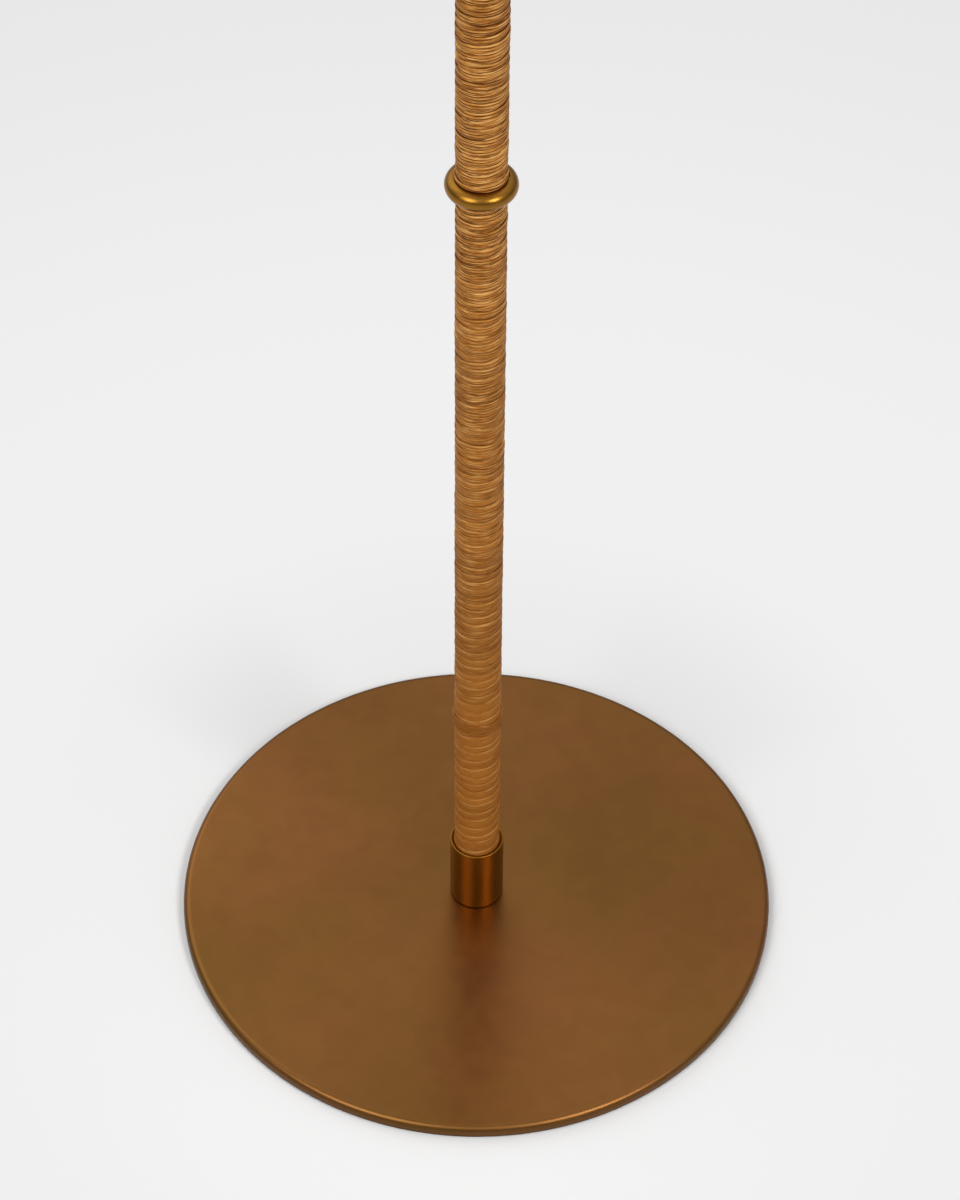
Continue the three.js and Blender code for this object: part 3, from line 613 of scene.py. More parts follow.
@once
def fibre_paper():
    """Pressed fibre paper: pale tan and matt, with short fibres."""
    return mottled("Fibre_paper", {"Roughness": 0.9}, "TexNoise",
                   {"Scale": scale_of(0.8), "Detail": 4.0, "Distortion": 1.5}, "a8987a", "c9bb9d")


@once
def frosted_glass():
    """Soda glass, etched inside: it passes a little light and blurs all behind it to an even white."""
    return mottled("Glass_frosted", {
        "IOR": 1.52, "Transmission Weight": 0.35, "Coat Weight": 0.4, "Coat Roughness": 0.08},
        "TexNoise", {"Scale": scale_of(1.2), "Detail": 3.0}, "eeebe4", "f8f6f1",
        rough=(0.5, 0.62))


@once
def linen():
    """Undyed linen in plain weave: two sets of warm off-white threads, with slubs and uneven tone.

    The wrap map runs in metres round the shade and up it. The real threads lie about 0.6 mm
    apart, and they are drawn a little wider so that they show.
    """
    settings = bpy.context.scene.rattan_lamp_shade
    made, tree, shader = new_finish("Linen_plain_weave", {"Roughness": 0.92, "Sheen Weight": 0.25})
    wrapped = add_node(tree, "UVMap", uv_map="wrap")
    shake = add_node(tree, "TexNoise", {
        "Vector": wrapped, "Scale": scale_of(14), "Detail": 3.0})
    moved = add_node(tree, "VectorMath", {
        0: shake.outputs["Color"], 1: (0.5 * MM, 0.5 * MM, 0), 2: wrapped}, operation="MULTIPLY_ADD")
    threads = []
    for direction, stretch in (("X", (0.9, 26)), ("Y", (26, 0.9))):
        stripes = add_node(tree, "TexWave", {
            "Vector": moved, "Scale": math.pi / 10 / settings.thread},
            bands_direction=direction, wave_profile="SIN")
        long = add_node(tree, "VectorMath", {
            0: wrapped, 1: (*(scale_of(size) for size in stretch), 1)}, operation="MULTIPLY")
        slub = add_node(tree, "TexNoise", {"Vector": long, "Scale": 1.0, "Detail": 2.0})
        threads.append(add_node(tree, "Math", {
            0: stripes.outputs["Fac"], 1: slub}, operation="MULTIPLY"))
    weave = add_node(tree, "Math", {0: threads[0], 1: threads[1]}, operation="MAXIMUM")
    tone = add_node(tree, "MapRange", {"Value": weave, "From Min": 0.05, "From Max": 0.6})
    colour = add_node(tree, "Mix", {0: tone, 6: settings.gaps, 7: settings.linen}, data_type="RGBA")
    bump = add_node(tree, "Bump", {"Height": weave, "Strength": 0.6, "Distance": 0.25 * MM})
    feed(tree, shader, {"Base Color": colour, "Normal": bump})
    return made


@once
def styrene():
    """White styrene sheet, the stiff liner of the shade: smooth, with the faintest orange peel."""
    return mottled("Styrene_sheet", {"IOR": 1.55}, "TexNoise",
                   {"Scale": scale_of(6), "Detail": 2.0}, "ece7dc", "f3efe6", rough=(0.42, 0.55))


@once
def painted_floor():
    """Matt white studio paint on a seamless floor.

    A little way from the lamp, for rays from the camera, through glass or off metal, it passes
    into an emitted pale tone: a painted pool of light round the lamp, which darkens further off
    to that of the studio behind it.
    """
    settings = bpy.context.scene.rattan_lamp_stage
    made, tree, shader = new_finish("Matt_white_paint", {"Roughness": 1.0, "Specular IOR Level": 0.0})
    place = add_node(tree, "TexCoord").outputs["Object"]
    roller = add_node(tree, "TexNoise", {"Vector": place, "Scale": scale_of(400), "Detail": 2.0})
    colour = add_node(tree, "Mix", {
        0: roller, 6: linear("f8f8f8"), 7: linear("fbfbfb")}, data_type="RGBA")
    feed(tree, shader, {"Base Color": colour})
    path, seen = seen_rays(tree)
    seen = add_node(tree, "Math", {0: seen, 1: path.outputs["Is Glossy Ray"]}, operation="MAXIMUM")
    distance = add_node(tree, "VectorMath", {0: place}, operation="LENGTH").outputs["Value"]
    # Between two distances from the lamp, in metres
    past_shadow, far_off = (
        add_node(tree, "MapRange", {"Value": distance, "From Min": near, "From Max": far},
                 interpolation_type="SMOOTHSTEP")
        for near, far in ((0.155, 0.29), (0.35, 0.95)))
    # A painted pool of light: the pool colour near the lamp, fading to the far colour further off
    tone = add_node(tree, "Mix", {
        0: far_off, 6: settings.lit_pool_colour, 7: settings.far_colour}, data_type="RGBA")
    even = add_node(tree, "Emission", {"Color": tone})
    share = add_node(tree, "Math", {0: seen, 1: past_shadow}, operation="MULTIPLY")
    mix = add_node(tree, "MixShader", {0: share, 1: shader, 2: even})
    feed(tree, tree.nodes["Material Output"], {"Surface": mix})
    return made


# The finish of each material slot
FINISHES = {
    "aged_brass": aged_brass, "warm_brass": warm_brass, "steel": zinc_steel, "rattan_peel": rattan_peel,
    "felt": wool_felt, "phenolic": phenolic, "fibre_paper": fibre_paper, "frosted_glass": frosted_glass,
    "linen": linen,
}


# Winding

LOW_MOUTH, HIGH_MOUTH = reach("base_ferrule")[2], reach("top_ferrule")[1]
# Radii in millimetres: the skin of the winding, and its inside on the tube
CREST, SEAT = 11.5, 9.86


def drift(rng, turns, spacing):
    """A smooth random line between -1 and 1, with one new value every so many turns."""
    at = (turns - turns[0]) / spacing
    left = np.floor(at).astype(int)
    values = np.array([rng.uniform(-1, 1) for _ in range(left[-1] + 2)])
    share = at - left
    share = share * share * (3 - 2 * share)
    return values[left] * (1 - share) + values[left + 1] * share


def peel_piece(name, angle, radii, heights, across, wide, tones):
    """A length of peel from the rows of its points, each row from the lower edge up and back."""
    points = np.stack([radii * np.cos(angle)[:, None], radii * np.sin(angle)[:, None], heights], axis=-1)
    rows, ring = radii.shape
    index = np.arange(rows * ring).reshape(rows, ring)
    here, there = index[:-1], index[1:]
    after = np.roll(here, -1, axis=1), np.roll(there, -1, axis=1)
    faces = np.stack([here, there, after[1], after[0]], axis=-1).reshape(-1, 4)
    mesh = bpy.data.meshes.new(name)
    ends = [index[0].tolist(), index[-1][::-1].tolist()]
    mesh.from_pydata((points.reshape(-1, 3) * MM).tolist(), [], [*faces.tolist(), *ends])
    along = angle[:, None] * CREST * MM
    up = across * wide[:, None] * MM
    corners = np.empty(len(mesh.loops), int)
    mesh.loops.foreach_get("vertex_index", corners)
    for layer, first, second in (("strip", along, up), ("turn", wide[:, None] * MM - up, tones[:, None])):
        places = np.stack(np.broadcast_arrays(first, second), axis=-1).reshape(-1, 2)
        mesh.uv_layers.new(name=layer).data.foreach_set("uv", places[corners].ravel())
    piece = bpy.data.objects.new(name, mesh)
    bpy.context.collection.objects.link(piece)
    select(piece)
    bpy.ops.object.shade_smooth_by_angle(angle=math.radians(50))
    return piece


def wound_strip(name, foot, top, width, seed, swell):
    """One unbroken strip of peel wound round the tube, its turns edge to edge.

    The lower edge of a turn is the upper edge of the turn before it. The widths differ a little
    from turn to turn, the edges wander, and each turn leans a little on the one under it. Low on
    the post the turns are broader and less even, and worn flat. The first and last turns are
    trimmed square, and the ends held in the ferrules fill their mouths.
    """
    steps, held_radius, least, most = 44, 11.74, 10.3, 12.3
    rng = random.Random(seed)
    edges = [foot]
    while edges[-1] < top:
        loose = np.interp(edges[-1], [100, 210], [1, 0])
        spread = (0.1 + 0.25 * loose) * rng.uniform(-1, 1)
        edges.append(edges[-1] + width * (1 + 0.3 * loose + spread))
    edges = [2 * foot - edges[1], *edges, 2 * edges[-1] - edges[-2]]
    count = (len(edges) - 1) * steps + 1
    turns = np.arange(count) / steps
    line = np.interp(turns, np.arange(len(edges)), edges)
    line += np.interp(line, [100, 210], [0.8, 0.3]) * drift(rng, turns, 0.27) + 0.12 * drift(rng, turns, 0.07)
    low = np.clip(line[:-steps], foot, top)
    high = np.clip(np.maximum(line[steps:], line[:-steps]), foot, top)
    turns = turns[:-steps]
    wide = high - low
    # Each turn rises and dips, and here and there a lap of the peel stands up and falls away
    lift = 0.14 * drift(rng, turns, 0.9) + 0.07 * drift(rng, turns, 0.11)
    lean = 0.2 + 0.12 * drift(rng, turns, 2.3)
    lap_length, lap_height, lap_spacing = 0.12, 0.22, 31.0
    for lap in np.arange(rng.uniform(4, 9), turns[-1], lap_spacing):
        past = turns - lap - rng.uniform(-6, 6)
        lift += np.where((past > 0) & (past < lap_length), lap_height * (1 - past / lap_length), 0)
    across = np.array([0.0, 0.2, 0.62, 0.88, 1.0])
    depth = np.clip(wide / 3, 0.4, 1)[:, None] * np.interp(low, [60, 250], [0.55, 1])[:, None]
    fall = np.array([0.45, 0.1, 0.0, 0.08, 0.45])[None, :] * depth
    skin = CREST + lift[:, None] - fall - lean[:, None] * (1 - across)[None, :] * depth
    rise = low[:, None] + wide[:, None] * across[None, :]
    near_foot = np.clip(1 - (rise - foot) / 8, 0, 1)
    skin = np.clip(skin + swell * near_foot ** 2, least, most)
    held = np.clip(np.maximum(LOW_MOUTH + 1.5 - rise, rise - HIGH_MOUTH + 1.5) / 1.5, 0, 1)
    skin = skin * (1 - held) + held_radius * held
    radii = np.hstack([skin, np.full((len(turns), 2), SEAT)])
    heights = np.hstack([rise, high[:, None], low[:, None]])
    # The tone of each turn, evener near the foot, and a painted shade that darkens the post towards its foot
    # and pales it up the post
    tones = np.interp(turns, np.arange(len(edges)), [rng.uniform(-0.26, 0.26) for _ in edges])
    tones += 0.09 * drift(rng, turns, 2.4)
    tones *= np.interp(low, [60, 550], [0.6, 1])
    # Painted shade: the turns are darker low on the post and paler higher up
    tones += np.interp(low, [120, 230, 330, 540], [-0.05, -0.1, 0.02, 0.18])
    return peel_piece(name, 2 * math.pi * turns, radii, heights, [*across, 1.0, 0.0], wide, tones)


def binding(name, low, high, seed):
    """A broad length of peel laid once round the winding, its ends lapped at the rear."""
    crest, inside, steps, lap = 12.5, 11.2, 120, 2
    rng = random.Random(seed)
    turns = np.arange(steps + lap + 1) / steps
    low = low + 0.5 * drift(rng, turns, 0.2)
    high = high + 0.6 * drift(rng, turns, 0.16)
    wide = high - low
    across = np.array([0.0, 0.04, 0.14, 0.4, 0.7, 0.9, 0.97, 1.0])
    fall = np.array([0.55, 0.25, 0.08, 0.0, 0.0, 0.06, 0.22, 0.55])[None, :]
    skin = crest + 0.12 * drift(rng, turns, 0.13)[:, None] + 0.2 * np.clip(turns - 1, 0, 1)[:, None] - fall
    rise = low[:, None] + wide[:, None] * across[None, :]
    radii = np.hstack([skin, np.full((len(turns), 2), inside)])
    heights = np.hstack([rise, high[:, None], low[:, None]])
    # Its edges are tucked down, so the map stays clear of them and of their marks
    mapped = [*(0.25 + across / 2), 0.75, 0.25]
    tones = np.full(len(turns), -0.5)
    return peel_piece(name, 2 * math.pi * (turns + 0.25), radii, heights, mapped, wide, tones)


# Pieces

class RattanLampOperator(bpy.types.Operator):
    """Shared by the operators of the lamp."""

    bl_options = {"REGISTER", "UNDO"}


class RATTAN_LAMP_OT_stage(RattanLampOperator):
    """Sets up the floor, the soft lights and the camera"""

    bl_idname = "rattan_lamp.stage"
    bl_label = "Stage"

    def execute(self, context):
        scene = context.scene
        settings = scene.rattan_lamp_stage
        scene.view_settings.view_transform = "Standard"
        floor = start("Floor", bpy.ops.mesh.primitive_circle_add, vertices=96, radius=9, fill_type="NGON")
        floor.data.materials.append(painted_floor())
        self.make_world(scene, settings)
        softboxes = [
            ("Key_light", (-1.35, -1.6, 2.1), 1.5, settings.key_light),
            ("Fill_light", (1.38, -1.52, 2.1), 0.95, settings.fill_light),
            ("Rear_light", (-1.5, 1.5, 1.9), 2.4, settings.rear_light),
        ]
        for name, place, size, power in softboxes:
            light = start(name, bpy.ops.object.light_add, type="AREA", location=place)
            light.data.shape = "DISK"
            light.data.size = size
            light.data.energy = power
            aim = Vector((0, 0, 0.5)) - Vector(place)
            light.rotation_euler = aim.to_track_quat("-Z", "Y").to_euler()
        self.make_camera(scene, settings)
        return {"FINISHED"}

    def make_world(self, scene, settings):
        world = bpy.data.worlds.new("Studio")
        world.use_nodes = True
        scene.world = world
        tree = world.node_tree
        path, seen = seen_rays(tree)
        # Metal mirrors dim walls and a ceiling that is palest at the rear
        way = add_node(tree, "TexCoord").outputs["Generated"]
        way = add_node(tree, "SeparateXYZ", {0: way})
        high = add_node(tree, "MapRange", {
            "Value": way.outputs["Z"], "From Min": 0.05, "From Max": 0.9,
            "To Min": settings.wall_light, "To Max": 1.11})
        behind = add_node(tree, "MapRange", {
            "Value": way.outputs["Y"], "From Min": -0.3, "From Max": 0.35, "To Min": 0.55, "To Max": 1.0})
        brightness = add_node(tree, "Math", {0: high, 1: behind}, operation="MULTIPLY")
        lit = add_node(tree, "Background", {"Color": (1, 1, 1), "Strength": settings.sky_light})
        mirrored = add_node(tree, "Background", {"Color": (1, 1, 1), "Strength": brightness})
        even = add_node(tree, "Background", {"Color": settings.far_colour, "Strength": 1.0})
        mix = add_node(tree, "MixShader", {0: path.outputs["Is Glossy Ray"], 1: lit, 2: mirrored})
        mix = add_node(tree, "MixShader", {0: seen, 1: mix, 2: even})
        feed(tree, tree.nodes["World Output"], {"Surface": mix})

    def make_camera(self, scene, settings):
        camera = start("Camera", bpy.ops.object.camera_add)
        turn, tilt, roll = settings.camera_turn, settings.camera_tilt, settings.camera_roll
        ahead = Vector((math.sin(turn) * math.cos(tilt), math.cos(turn) * math.cos(tilt), -math.sin(tilt)))
        right = Vector((math.cos(turn), -math.sin(turn), 0))
        up = right.cross(ahead)
        right, up = (right * math.cos(roll) + up * math.sin(roll),
                     up * math.cos(roll) - right * math.sin(roll))
        facing = Matrix((right, up, -ahead)).transposed().to_4x4()
        camera.matrix_world = Matrix.Translation(settings.camera_place) @ facing
        camera.data.lens = settings.camera_lens
        camera.data.sensor_width = 36
        scene.camera = camera


class RATTAN_LAMP_OT_base(RattanLampOperator):
    """Models the round base plate and the felt pad under it"""

    bl_idname = "rattan_lamp.base"
    bl_label = "Base"

    def execute(self, context):
        radius, foot, top = reach("base_plate")
        edge, chamfer, countersink, bore, bore_foot = 3.4, 0.6, 8.3, 4.3, 4.2
        height = top - foot
        rings = [(share * (radius - edge), height) for share in (0.995, 0.8, 0.6, 0.4, 0.2, 0.1)]
        plate = turned("Base_plate", [
            (countersink, 0), (radius - chamfer, 0), (radius, chamfer),
            *arc(radius - edge, height - edge, edge, 0, 90, 8), *rings,
            (bore, height), (bore, bore_foot),
        ], foot, sides=256)
        settle(smooth(plate, angle=40), "stand", "aged_brass", "base_plate")
        radius, foot, top = reach("base_pad")
        hole, thick = 24, top - foot
        pad = turned("Base_pad", [(hole, 0), (radius, 0), (radius, thick), (hole, thick)], foot, sides=192)
        settle(smooth(pad, edge=0.15), "stand", "felt", "base_pad")
        return {"FINISHED"}


class RATTAN_LAMP_OT_ferrules(RattanLampOperator):
    """Models the two ferrules that hold the ends of the winding"""

    bl_idname = "rattan_lamp.ferrules"
    bl_label = "Ferrules"

    def outline(self, radius, height, floor):
        """A ferrule stood on its closed end, with the recess for the winding at its top."""
        lip, seat, recess = 0.5, 11.8, 8
        return [
            *floor,
            *arc(radius - lip, lip, lip, -90, 0, 5),
            *arc(radius - lip, height - lip, lip, 0, 90, 5),
            (seat + 1.2, height), (seat, height - 0.6),
            (seat, height - recess), (OVER_TUBE, height - recess),
        ]

    def execute(self, context):
        radius, foot, top = reach("base_ferrule")
        low = turned("Base_ferrule", self.outline(radius, top - foot, [(OVER_TUBE, 0)]), foot, sides=144)
        outlet = 4.9
        cut(low, lay(pin("Outlet_cutter", outlet, 0, radius + 1), OUTLET_HEIGHT, toward_rear=True))
        settle(smooth(low, angle=30), "stand", "aged_brass", "base_ferrule")
        radius, foot, top = reach("top_ferrule")
        roof = 3
        floor = [(OVER_TUBE, roof), (OVER_NIPPLE, roof), (OVER_NIPPLE, 0)]
        high = turned("Top_ferrule", self.outline(radius, top - foot, floor), 0, sides=144)
        high.rotation_euler.x = math.pi
        high.location.z = top * MM
        apply_place(high)
        settle(smooth(high, angle=30), "stand", "aged_brass", "top_ferrule")
        return {"FINISHED"}


class RATTAN_LAMP_OT_bushing(RattanLampOperator):
    """Models the snap bushing that lines the cord outlet at the rear"""

    bl_idname = "rattan_lamp.bushing"
    bl_label = "Cord bushing"

    def execute(self, context):
        bore, barrel, flange, thick, edge = 3.3, 4.6, 6.4, 2.6, 0.9
        inside, outside = OVER_COUPLER, 15.6
        bushing = turned("Cord_bushing", [
            (bore, inside), (barrel, inside), (barrel, outside - thick), (flange, outside - thick),
            (flange, outside - edge), (flange - edge, outside), (bore + edge, outside),
            (bore, outside - edge),
        ], sides=64)
        lay(bushing, OUTLET_HEIGHT, toward_rear=True)
        # The flange is hollowed to lie on the ferrule, and the barrel is kept whole
        sleeve = pin("Sleeve_cutter", 14, 20, 47, sides=144)
        keep = turned("Barrel_keeper", [(0, 0), (barrel, 0), (barrel, 20), (0, 20)], sides=64)
        lay(keep, OUTLET_HEIGHT, toward_rear=True)
        cut(sleeve, keep)
        cut(bushing, sleeve)
        settle(smooth(bushing, angle=30), "stand", "phenolic", "cord_bushing")
        return {"FINISHED"}


class RATTAN_LAMP_OT_bead_rings(RattanLampOperator):
    """Models the two bead rings between the lengths of the post"""

    bl_idname = "rattan_lamp.bead_rings"
    bl_label = "Bead rings"

    def execute(self, context):
        section, web = 4.2, 1.5
        centre = reach("lower_bead_ring")[0] - section
        open_angle = math.degrees(math.acos((OVER_TUBE - centre) / section))
        lower = turned("Lower_bead_ring", [
            *arc(centre, 0, section, -open_angle, open_angle, 28),
            (OVER_TUBE, web), (OVER_COUPLER, web), (OVER_COUPLER, -web), (OVER_TUBE, -web),
        ], sides=144)
        smooth(lower, angle=30)
        upper = copy_of(lower, "Upper_bead_ring")
        for ring, node in ((lower, "lower_bead_ring"), (upper, "upper_bead_ring")):
            _, foot, top = reach(node)
            ring.location.z = (foot + top) / 2 * MM
            settle(ring, "stand", "warm_brass", node)
        return {"FINISHED"}


class RATTAN_LAMP_OT_windings(RattanLampOperator):
    """Winds the strip of peel round each length of the post"""

    bl_idname = "rattan_lamp.windings"
    bl_label = "Windings"

    def execute(self, context):
        settings = context.scene.rattan_lamp_winding
        for number, place in enumerate(("lower", "middle", "upper")):
            node = f"{place}_winding"
            _, foot, top = reach(node)
            # The first turns on a bead ring swell over the end of the tube
            swell = 0.6 if number else 0.0
            strip = wound_strip(f"{place.title()}_winding", foot, top, settings.width / MM,
                                settings.seed + number, swell)
            if place == "lower":
                join(strip, binding("Binding", 141, 148.3, settings.seed))
            settle(strip, "stand", "rattan_peel", node)
        return {"FINISHED"}


class RATTAN_LAMP_OT_inner_pieces(RattanLampOperator):
    """Gives the inner pieces, whose shapes stay as they are, their real finishes"""

    bl_idname = "rattan_lamp.inner_pieces"
    bl_label = "Inner pieces"

    def execute(self, context):
        inner = {
            "steel": ("base_screw", "foot_plug", "lower_tube", "middle_tube", "upper_tube",
                      "lower_coupler", "upper_coupler", "top_plug", "threaded_nipple"),
            "phenolic": ("socket_body",),
            "warm_brass": ("screw_shell", "centre_contact"),
        }
        for slot, nodes in inner.items():
            for node in nodes:
                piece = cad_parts[node]
                piece.data.materials.clear()
                piece.data.materials.append(FINISHES[slot]())
        return {"FINISHED"}


class RATTAN_LAMP_OT_harp_fitting(RattanLampOperator):
    """Models the harp saddle and the lock nut that clamps it"""

    bl_idname = "rattan_lamp.harp_fitting"
    bl_label = "Harp saddle and nut"

    def execute(self, context):
        _, foot, top = reach("harp_saddle")
        thick, width, height, bend, peg_radius = 1.6, 12.7, 14, 5, 1.9
        outer = HARP_LEG + thick / 2
        # A flat bar from the centre to the bend, turned up through it and drawn on to the peg
        bar = start("Harp_saddle", bpy.ops.mesh.primitive_plane_add, size=MM)
        bar.scale = (thick, width, 1)
        bar.rotation_euler.y = math.pi / 2
        bar.location = (0, 0, (foot + thick / 2) * MM)
        apply_place(bar)
        bpy.ops.object.mode_set(mode="EDIT")
        bpy.ops.mesh.select_all(action="SELECT")
        bpy.ops.mesh.extrude_region_move(TRANSFORM_OT_translate={"value": ((outer - bend) * MM, 0, 0)})
        bpy.ops.mesh.spin(steps=8, angle=math.pi / 2, center=((outer - bend) * MM, 0, (foot + bend) * MM),
                          axis=(0, 1, 0))
        bpy.ops.mesh.extrude_region_move(TRANSFORM_OT_translate={"value": (0, 0, (height - bend) * MM)})
        bpy.ops.object.mode_set(mode="OBJECT")
        modify(bar, "MIRROR", use_clip=True)
        close_up(bar)
        cut(bar, pin("Nipple_cutter", OVER_NIPPLE, foot - 1, foot + thick + 1))
        smooth(bar, angle=30, edge=0.3)
        rise = top - foot - height
        left = turned("Left_peg", [
            (0, 0), (peg_radius, 0), (peg_radius, rise - 0.5), (peg_radius - 0.5, rise), (0, rise),
        ], foot + height, sides=32)
        smooth(left)
        right = copy_of(left, "Right_peg")
        left.location.x, right.location.x = -HARP_LEG * MM, HARP_LEG * MM
        apply_place(left)
        apply_place(right)
        saddle = join(bar, left, right)
        settle(saddle, "stand", "aged_brass", "harp_saddle")
        _, foot, top = reach("lock_nut")
        across = 14
        nut = pin("Lock_nut", across / math.sqrt(3), foot, top, sides=6)
        cut(nut, pin("Thread_cutter", OVER_NIPPLE, foot - 1, top + 1))
        settle(smooth(nut, angle=30, edge=0.35), "stand", "steel", "lock_nut")
        return {"FINISHED"}


class RATTAN_LAMP_OT_socket(RattanLampOperator):
    """Models the socket's cap, its shell and the paper liner"""

    bl_idname = "rattan_lamp.socket"
    bl_label = "Socket"

    def bell(self, neck, radius, foot, top, steps):
        """A bell's outline, which widens from the neck as a quarter of an oval."""
        quarter = [math.pi / 2 * step / steps for step in range(steps + 1)]
        return [(neck + (radius - neck) * math.sin(angle), foot + (top - foot) * (1 - math.cos(angle)))
                for angle in quarter]

    def execute(self, context):
        neck, bell_height, wall, bead = 8, 10, 1.2, 0.4
        radius, foot, top = reach("socket_cap")
        height = top - foot
        cap = turned("Socket_cap", [
            (OVER_NIPPLE, 0), *self.bell(neck, radius - bead, 0, bell_height, 14),
            (radius - bead, height - 2.4), (radius, height - 1.9), (radius, height - 0.5),
            (radius - bead, height), (radius - wall, height),
            *self.bell(neck, radius - wall, wall, bell_height, 12)[::-1], (OVER_NIPPLE, wall),
        ], foot)
        settle(smooth(cap, angle=30), "stand", "warm_brass", "socket_cap")
        radius, inside, height, groove, shaft_hole = 17.5, 16.6, 46, 0.35, 2.05
        _, foot, _ = reach("socket_shell")
        shell = turned("Socket_shell", [
            (inside, 0), (radius, 0), (radius, 9.4), (radius - groove, 9.9), (radius - groove, 10.7),
            (radius, 11.2), (radius, height - 3), *arc(radius - 0.5, height - 1.5, 1.3, -60, 60, 8),
            (inside, height),
        ], foot)
        cut(shell, lay(pin("Shaft_cutter", shaft_hole, -1, radius + 1), SWITCH_HEIGHT))
        settle(smooth(shell, angle=30), "stand", "warm_brass", "socket_shell")
        radius, foot, top = reach("socket_liner")
        inside, height = radius - 0.8, top - foot
        liner = turned("Socket_liner", [(inside, 0), (radius, 0), (radius, height), (inside, height)], foot)
        cut(liner, lay(pin("Slot_cutter", shaft_hole, -1, radius + 1), SWITCH_HEIGHT))
        settle(smooth(liner, angle=30), "stand", "fibre_paper", "socket_liner")
        return {"FINISHED"}


class RATTAN_LAMP_OT_switch(RattanLampOperator):
    """Models the switch shaft and its fluted knob"""

    bl_idname = "rattan_lamp.switch"
    bl_label = "Switch"

    def execute(self, context):
        axle, radius, flutes, flute_depth = 1.75, 6, 12, 0.7
        low, high = (corner.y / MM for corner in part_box("switch_shaft"))
        shaft = turned("Switch_shaft", [
            (0, -high), (axle, -high), (axle, -low - 0.4), (axle - 0.4, -low), (0, -low)], sides=32)
        lay(shaft, SWITCH_HEIGHT)
        settle(smooth(shaft), "switch", "warm_brass", "switch_shaft")
        low, high = (corner.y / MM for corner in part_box("switch_knob"))
        near, far = -high, -low
        grip = [(radius, near + 2.2 + step * (far - near - 4.2) / 6) for step in range(7)]
        knob = turned("Switch_knob", [
            (axle + 0.3, near), (radius - 1.1, near), (radius - 0.2, near + 0.7), *grip,
            (radius - 0.5, far - 0.9), (radius - 1.4, far - 0.2), (radius - 2.4, far), (0.9, far),
            (0, far - 0.1), (0, near + 9), (axle + 0.3, near + 9),
        ], sides=flutes * 10)

        def fluted(reached, angle, _):
            if reached <= radius - 0.6:
                return reached
            return reached - flute_depth * (0.5 - 0.5 * math.cos(flutes * angle))

        wave(knob, fluted)
        close_up(knob)
        lay(knob, SWITCH_HEIGHT)
        settle(smooth(knob, angle=40), "switch", "phenolic", "switch_knob")
        return {"FINISHED"}


class RATTAN_LAMP_OT_bulb(RattanLampOperator):
    """Models the bulb's screw cap and its frosted glass"""

    bl_idname = "rattan_lamp.bulb"
    bl_label = "Bulb"

    def glass(self, neck, ball, centre, foot):
        """One side of the glass: a straight neck, a throat and the ball."""
        meet = math.radians(-35)
        start_radius, start_height = ball * math.cos(meet), centre + ball * math.sin(meet)
        slope = math.tan(math.radians(90) + meet)
        handle = (neck, start_height - (start_radius - neck) * slope)
        throat = []
        for step in range(13):
            t = step / 12
            throat.append(tuple(
                (1 - t) ** 2 * a + 2 * t * (1 - t) * b + t * t * c
                for a, b, c in zip((neck, 25), handle, (start_radius, start_height))))
        return [(neck, foot), *throat, *arc(0, centre, ball, -35, 90, 40)[1:-1], (0, centre + ball)]

    def execute(self, context):
        _, foot, top = reach("bulb_cap")
        # The standard screw of a household bulb, with a pitch of seven turns to the inch
        radius, button, pitch, depth = 13.1, 4.5, 3.63, 0.7
        skirt = [(radius, 5.2 + step * pitch / 8) for step in range(int((top - foot - 5.6) / pitch * 8))]
        cap = turned("Bulb_cap", [
            (0, 0), (button - 0.8, 0), (button, 0.5), (button + 0.6, 2), (button + 1, 2.5),
            (radius - 1, 4.2), *skirt, (radius, top - foot), (radius - 1, top - foot), (radius - 1, 6),
            (0, 6),
        ], foot, sides=72)
        thread(cap, foot + 5.5, foot + 22.5, pitch, depth, radius - 0.05)
        settle(smooth(cap, angle=45), "stand", "steel", "bulb_cap")
        neck, ball, wall, length = 11.8, 30, 1, 110
        centre = length - ball
        outside = self.glass(neck, ball, centre, 10)
        inside = self.glass(neck - wall, ball - wall, centre, 10)
        glass = turned("Bulb_glass", [*inside[::-1], *outside], foot, sides=96)
        settle(smooth(glass, angle=50), "stand", "frosted_glass", "bulb_glass")
        return {"FINISHED"}


